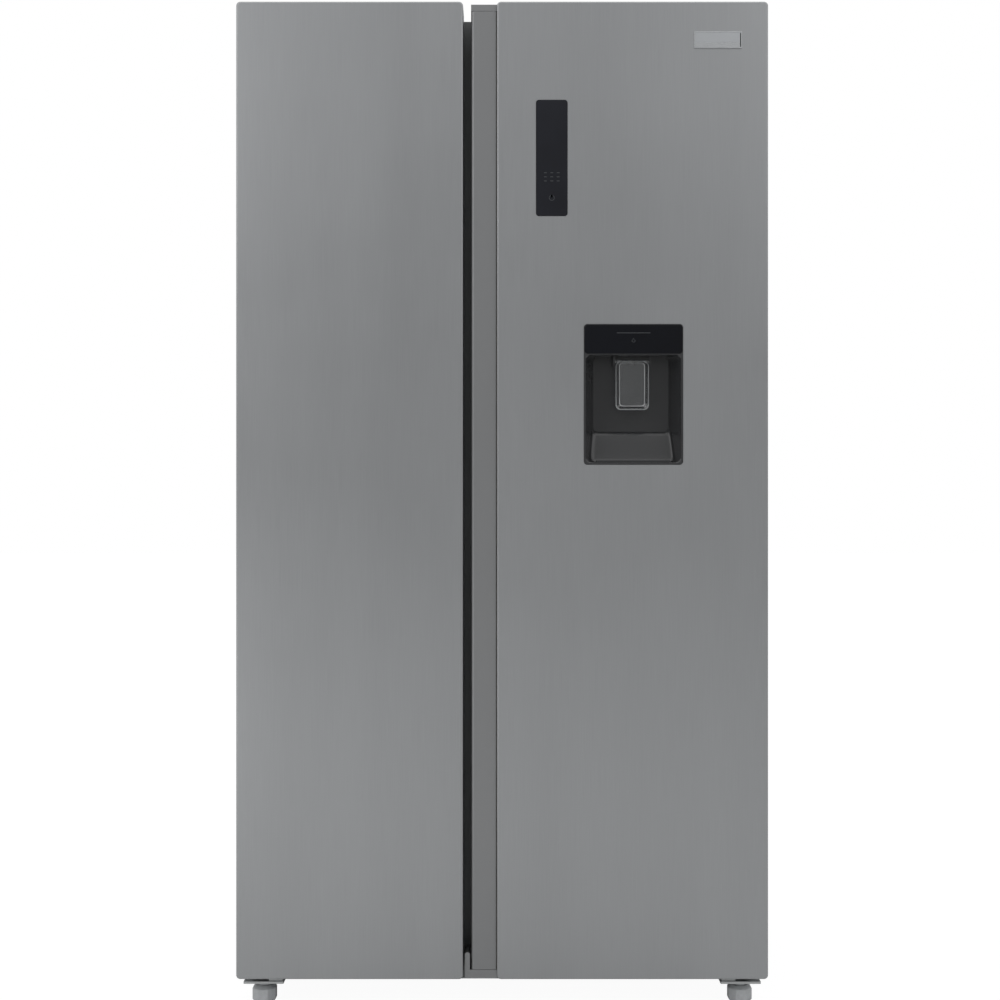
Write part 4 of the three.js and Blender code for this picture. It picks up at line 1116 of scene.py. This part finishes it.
# the rear sheet with pressed beads across it and a line of screws down each side
def makeBackPanel():
    xs, ys, zs = spans("back_panel")
    face = ys[0] + back["face"]
    sheet = softBlock("backPanel", (xs[0], ys[0], zs[0]), (xs[1], face, zs[1]), "galvanised", 0.2 * mm, 2)
    stand(sheet, "cabinet", "back_panel")
    makeBackBeads(xs, zs, face)
    inset, rows = back["screwInset"], back["screwRows"]
    screws = screwUnit("backPanelScrews", (xs[0] + inset, face - 0.05 * mm, zs[0] + inset), back["screw"],
                       back["screwProud"], "finAluminium")
    across = xs[1] - xs[0] - 2 * inset
    up = (zs[1] - zs[0] - 2 * inset) / (rows - 1)
    repeated(screws, "grid", columns=2, columnStep=(across, 0, 0), rows=rows, rowStep=(0, 0, up))
    stand(screws, "cabinet")


# long low ridges, the same distance apart
def makeBackBeads(xs, zs, face):
    wide, tall, margin = back["beadWide"], back["bead"], back["beadMargin"]
    length = (xs[0] + back["beadInset"], xs[1] - back["beadInset"])
    height = (zs[0] + margin, zs[0] + margin + wide)
    rings = []
    for share, lift in ((1.0, -0.1 * mm), (1.0, 0), (0.85, tall * 0.6), (0.6, tall * 0.93), (0.25, tall)):
        inset = (1 - share) * wide / 2
        outline = setIn(length, height, inset, (wide / 2 - inset) * 0.98, 10)
        rings.append([(x, face + lift, z) for x, z in outline])
    bead = loft("backPanelBeads", rings, "galvanised")
    pitch = (zs[1] - zs[0] - 2 * margin - wide) / (back["beads"] - 1)
    repeated(bead, "grid", columns=1, columnStep=(0, 0, 0), rows=back["beads"], rowStep=(0, 0, pitch))
    stand(bead, "cabinet")


louvre = {"columns": 3, "pitch": 18 * mm, "lean": 5 * mm, "sheet": 0.8 * mm, "overlap": 4 * mm,
          "clear": 0.3 * mm, "lowest": 39 * mm, "margin": 72 * mm}


# the machine space cover with leaning blades behind its slots
def makeMachineCover():
    softened("machine_cover", "cabinet", 0.3 * mm, "galvanised", 2)
    ys, zs = spans("machine_cover")[1:]
    width = cadBox[1][0] - cadBox[0][0]
    spacing = width / 3.6
    half = width / 9 + louvre["overlap"]
    sheet, front = louvre["sheet"], ys[0] - louvre["clear"]
    deep, foot = ys[0] - louvre["lean"], zs[0] + louvre["lowest"]
    profile = [(front, foot + 10.5 * mm), (front - sheet, foot + 10.5 * mm), (deep - sheet, foot - mm),
               (deep, foot - 1.6 * mm)]
    rings = [[(x, y, z) for y, z in profile] for x in (-spacing - half, -spacing + half)]
    blades = loft("machineCoverLouvres", rings, "galvanised")
    rows = int((zs[1] - zs[0] - louvre["margin"]) / louvre["pitch"])
    repeated(blades, "grid", columns=louvre["columns"], columnStep=(spacing, 0, 0), rows=rows,
             rowStep=(0, 0, louvre["pitch"]))
    stand(blades, "cabinet")


lamp = {"half": 85 * mm, "from": 90 * mm, "to": 125 * mm, "tall": 6.8 * mm, "clear": 0.2 * mm,
        "round": 3 * mm}


# a long lens under the ceiling of each compartment
def makeLamps():
    for side in ("freezer", "fridge"):
        xs, ys, zs = spans(side + "_liner")
        middle = (xs[0] + xs[1]) / 2
        top = zs[1] - 1.5 * mm - lamp["clear"]
        lens = softBlock(side + "Lamp", (middle - lamp["half"], ys[0] + lamp["from"], top - lamp["tall"]),
                         (middle + lamp["half"], ys[0] + lamp["to"], top), "lampLens", lamp["round"], 4)
        stand(lens, "cabinet")


shelves = ("freezer_shelf_1", "freezer_shelf_2", "crisper_cover", "fridge_shelf_1", "fridge_shelf_2",
           "fridge_shelf_3")
drawers = ("freezer_drawer_1", "freezer_drawer_2", "crisper_drawer_1", "crisper_drawer_2")


def makeCabinet():
    softened("cabinet_shell", "cabinet", 0.5 * mm, "cabinetPaint", 2)
    paint("mullion_strip", "cabinetPaint")
    paint("base_front_rail", "cabinetPaint")
    paint("base_pan", "galvanised")
    paint("cabinet_foam", "foamCore")
    smoothCopy("compressor", "cabinet", "compressorPaint", 50)
    smoothCopy("condenser_coil", "cabinet", "coilPaint", 50)
    softened("freezer_air_duct", "cabinet", 0.5 * mm, "whitePlastic", 2)
    for side in ("left", "right"):
        softened("rear_roller_" + side, "rear_roller_" + side, 1.2 * mm, "greyPlastic")
    makeEvaporator()
    makeFan()
    makeBackPanel()
    makeMachineCover()
    softened("freezer_liner", "cabinet", 2 * mm, "whitePlastic")
    softened("fridge_liner", "cabinet", 2 * mm, "whitePlastic")
    makeLamps()
    for node in shelves:
        makeShelf(node)
    for node in drawers:
        makeDrawer(node)
    for side in ("left", "right"):
        softened("hinge_top_" + side, "cabinet", 0.6 * mm, "galvanised", 2)
        softened("hinge_cover_" + side, "cabinet", 1.5 * mm, "greyPlastic")
        softened("hinge_bottom_" + side, "cabinet", 0.6 * mm, "bracketSteel", 2)
        softened("front_foot_" + side, "front_foot_" + side, 1.5 * mm, "footPlastic")
    print("cabinet made")


# room, light and camera

view = {"distance": 2.4, "aside": -0.0037, "height": 0.8755, "lens": 50.43}


def makeStage():
    form = bmesh.new()
    bmesh.ops.create_grid(form, x_segments=1, y_segments=1, size=20.0)
    floor = fromBmesh("floor", form, "paleFloor", False)


# white where it is looked at, and a shade darker in what it reflects on to the doors
def paleFloor(f):
    speckle = f.noise(30.0, 3.0)
    colour = f.shade((0.74, 0.74, 0.735), speckle, 0.01)
    shader = f.make("ShaderNodeBsdfPrincipled", {},
                    {"Base Color": colour, "Roughness": 0.9, "Specular IOR Level": 0.1})
    glow = f.make("ShaderNodeEmission", {}, {"Color": (1, 1, 1, 1), "Strength": 1.06})
    seen = f.make("ShaderNodeLightPath", output="Is Camera Ray")
    mixed = f.make("ShaderNodeMixShader", {}, {0: seen * 0.9, 1: shader, 2: glow})
    f.make("ShaderNodeOutputMaterial", {}, {"Surface": mixed})
    return f.material


def areaLight(name, place, target, size, watts):
    light = bpy.data.lights.new(name, "AREA")
    light.shape = "RECTANGLE"
    light.size, light.size_y = size
    light.energy = watts
    holder = bpy.data.objects.new(name, light)
    bpy.context.scene.collection.objects.link(holder)
    holder.location = place
    holder.rotation_euler = (Vector(target) - Vector(place)).to_track_quat("-Z", "Y").to_euler()


# strengths of the room round the object, and of its lamps in watts
room = {"level": 0.24, "overhead": 1.42, "sides": 0.22, "left": 12, "right": 7.5, "top": 13, "glint": 1.2,
        "low": 3.0}


# a white backdrop, with a dim band at eye level in what the room gives to reflections
def makeWorld():
    world = bpy.data.worlds.new("studio")
    bpy.context.scene.world = world
    f = Finish(world)
    way = f.make("ShaderNodeTexCoord", output="Generated")
    across = f.make("ShaderNodeSeparateXYZ", {}, {0: way}, output="X")
    up = f.make("ShaderNodeSeparateXYZ", {}, {0: way}, output="Z")
    lift = up.ramp(0.0, 1.0)
    level = room["level"] + lift * room["overhead"] * (1 - lift * 0.5) + across.size() * room["sides"]
    dim = f.make("ShaderNodeBackground", {}, {"Color": (0.985, 0.995, 1.0, 1), "Strength": level})
    white = f.make("ShaderNodeBackground", {}, {"Color": (1, 1, 1, 1), "Strength": 1.0})
    seen = f.make("ShaderNodeLightPath", output="Is Camera Ray")
    mixed = f.make("ShaderNodeMixShader", {}, {0: seen, 1: dim, 2: white})
    f.make("ShaderNodeOutputWorld", {}, {"Surface": mixed})


def makeLight():
    areaLight("leftSoftbox", (-2.1, -2.6, 2.6), (0, 0, 1.0), (1.6, 2.2), room["left"])
    areaLight("rightSoftbox", (1.9, -2.6, 2.75), (0, 0, 1.1), (1.4, 2.2), room["right"])
    areaLight("glintLamp", (-1.3, -2.3, 1.9), (0.2, -0.3, 1.05), (0.1, 0.3), room["glint"])
    areaLight("lowLamp", (-1.5, -2.2, 0.3), (-0.3, -0.3, 0.45), (0.7, 0.5), room["low"])
    areaLight("topSoftbox", (0, -1.2, 4.2), (0, -0.2, 0.8), (3.0, 2.0), room["top"])


def makeCamera():
    doorFront = low("freezer_door_skin")[1]
    camera = bpy.data.cameras.new("camera")
    camera.sensor_width = 36
    camera.lens = view["lens"]
    camera.clip_start = 0.05
    camera.clip_end = 60
    holder = bpy.data.objects.new("camera", camera)
    bpy.context.scene.collection.objects.link(holder)
    holder.location = (view["aside"], doorFront - view["distance"], view["height"])
    holder.rotation_euler = (math.radians(90), 0, 0)
    bpy.context.scene.camera = holder
    bpy.context.scene.view_settings.view_transform = "Standard"


makers = {maker.__name__: maker for maker in (
    brushedSteel, satinSilver, cabinetPaint, galvanised, whitePlastic, foamCore, gasketRubber, greyPlastic,
    blackGlass, displayGlass, darkPlastic, clearPlastic, shelfGlass, footPlastic, compressorPaint,
    finAluminium, badgeMetal, badgeBright, paddlePlastic, frostedEdge, printInk, lampLens, copperTube,
    coilPaint, bracketSteel, paleFloor)}

makeCamera()
makeWorld()
makeLight()
makeStage()
makeSkins()
makeStrip()
makeCaps()
makeDoorInsides()
makeDispenser()
makeCabinet()
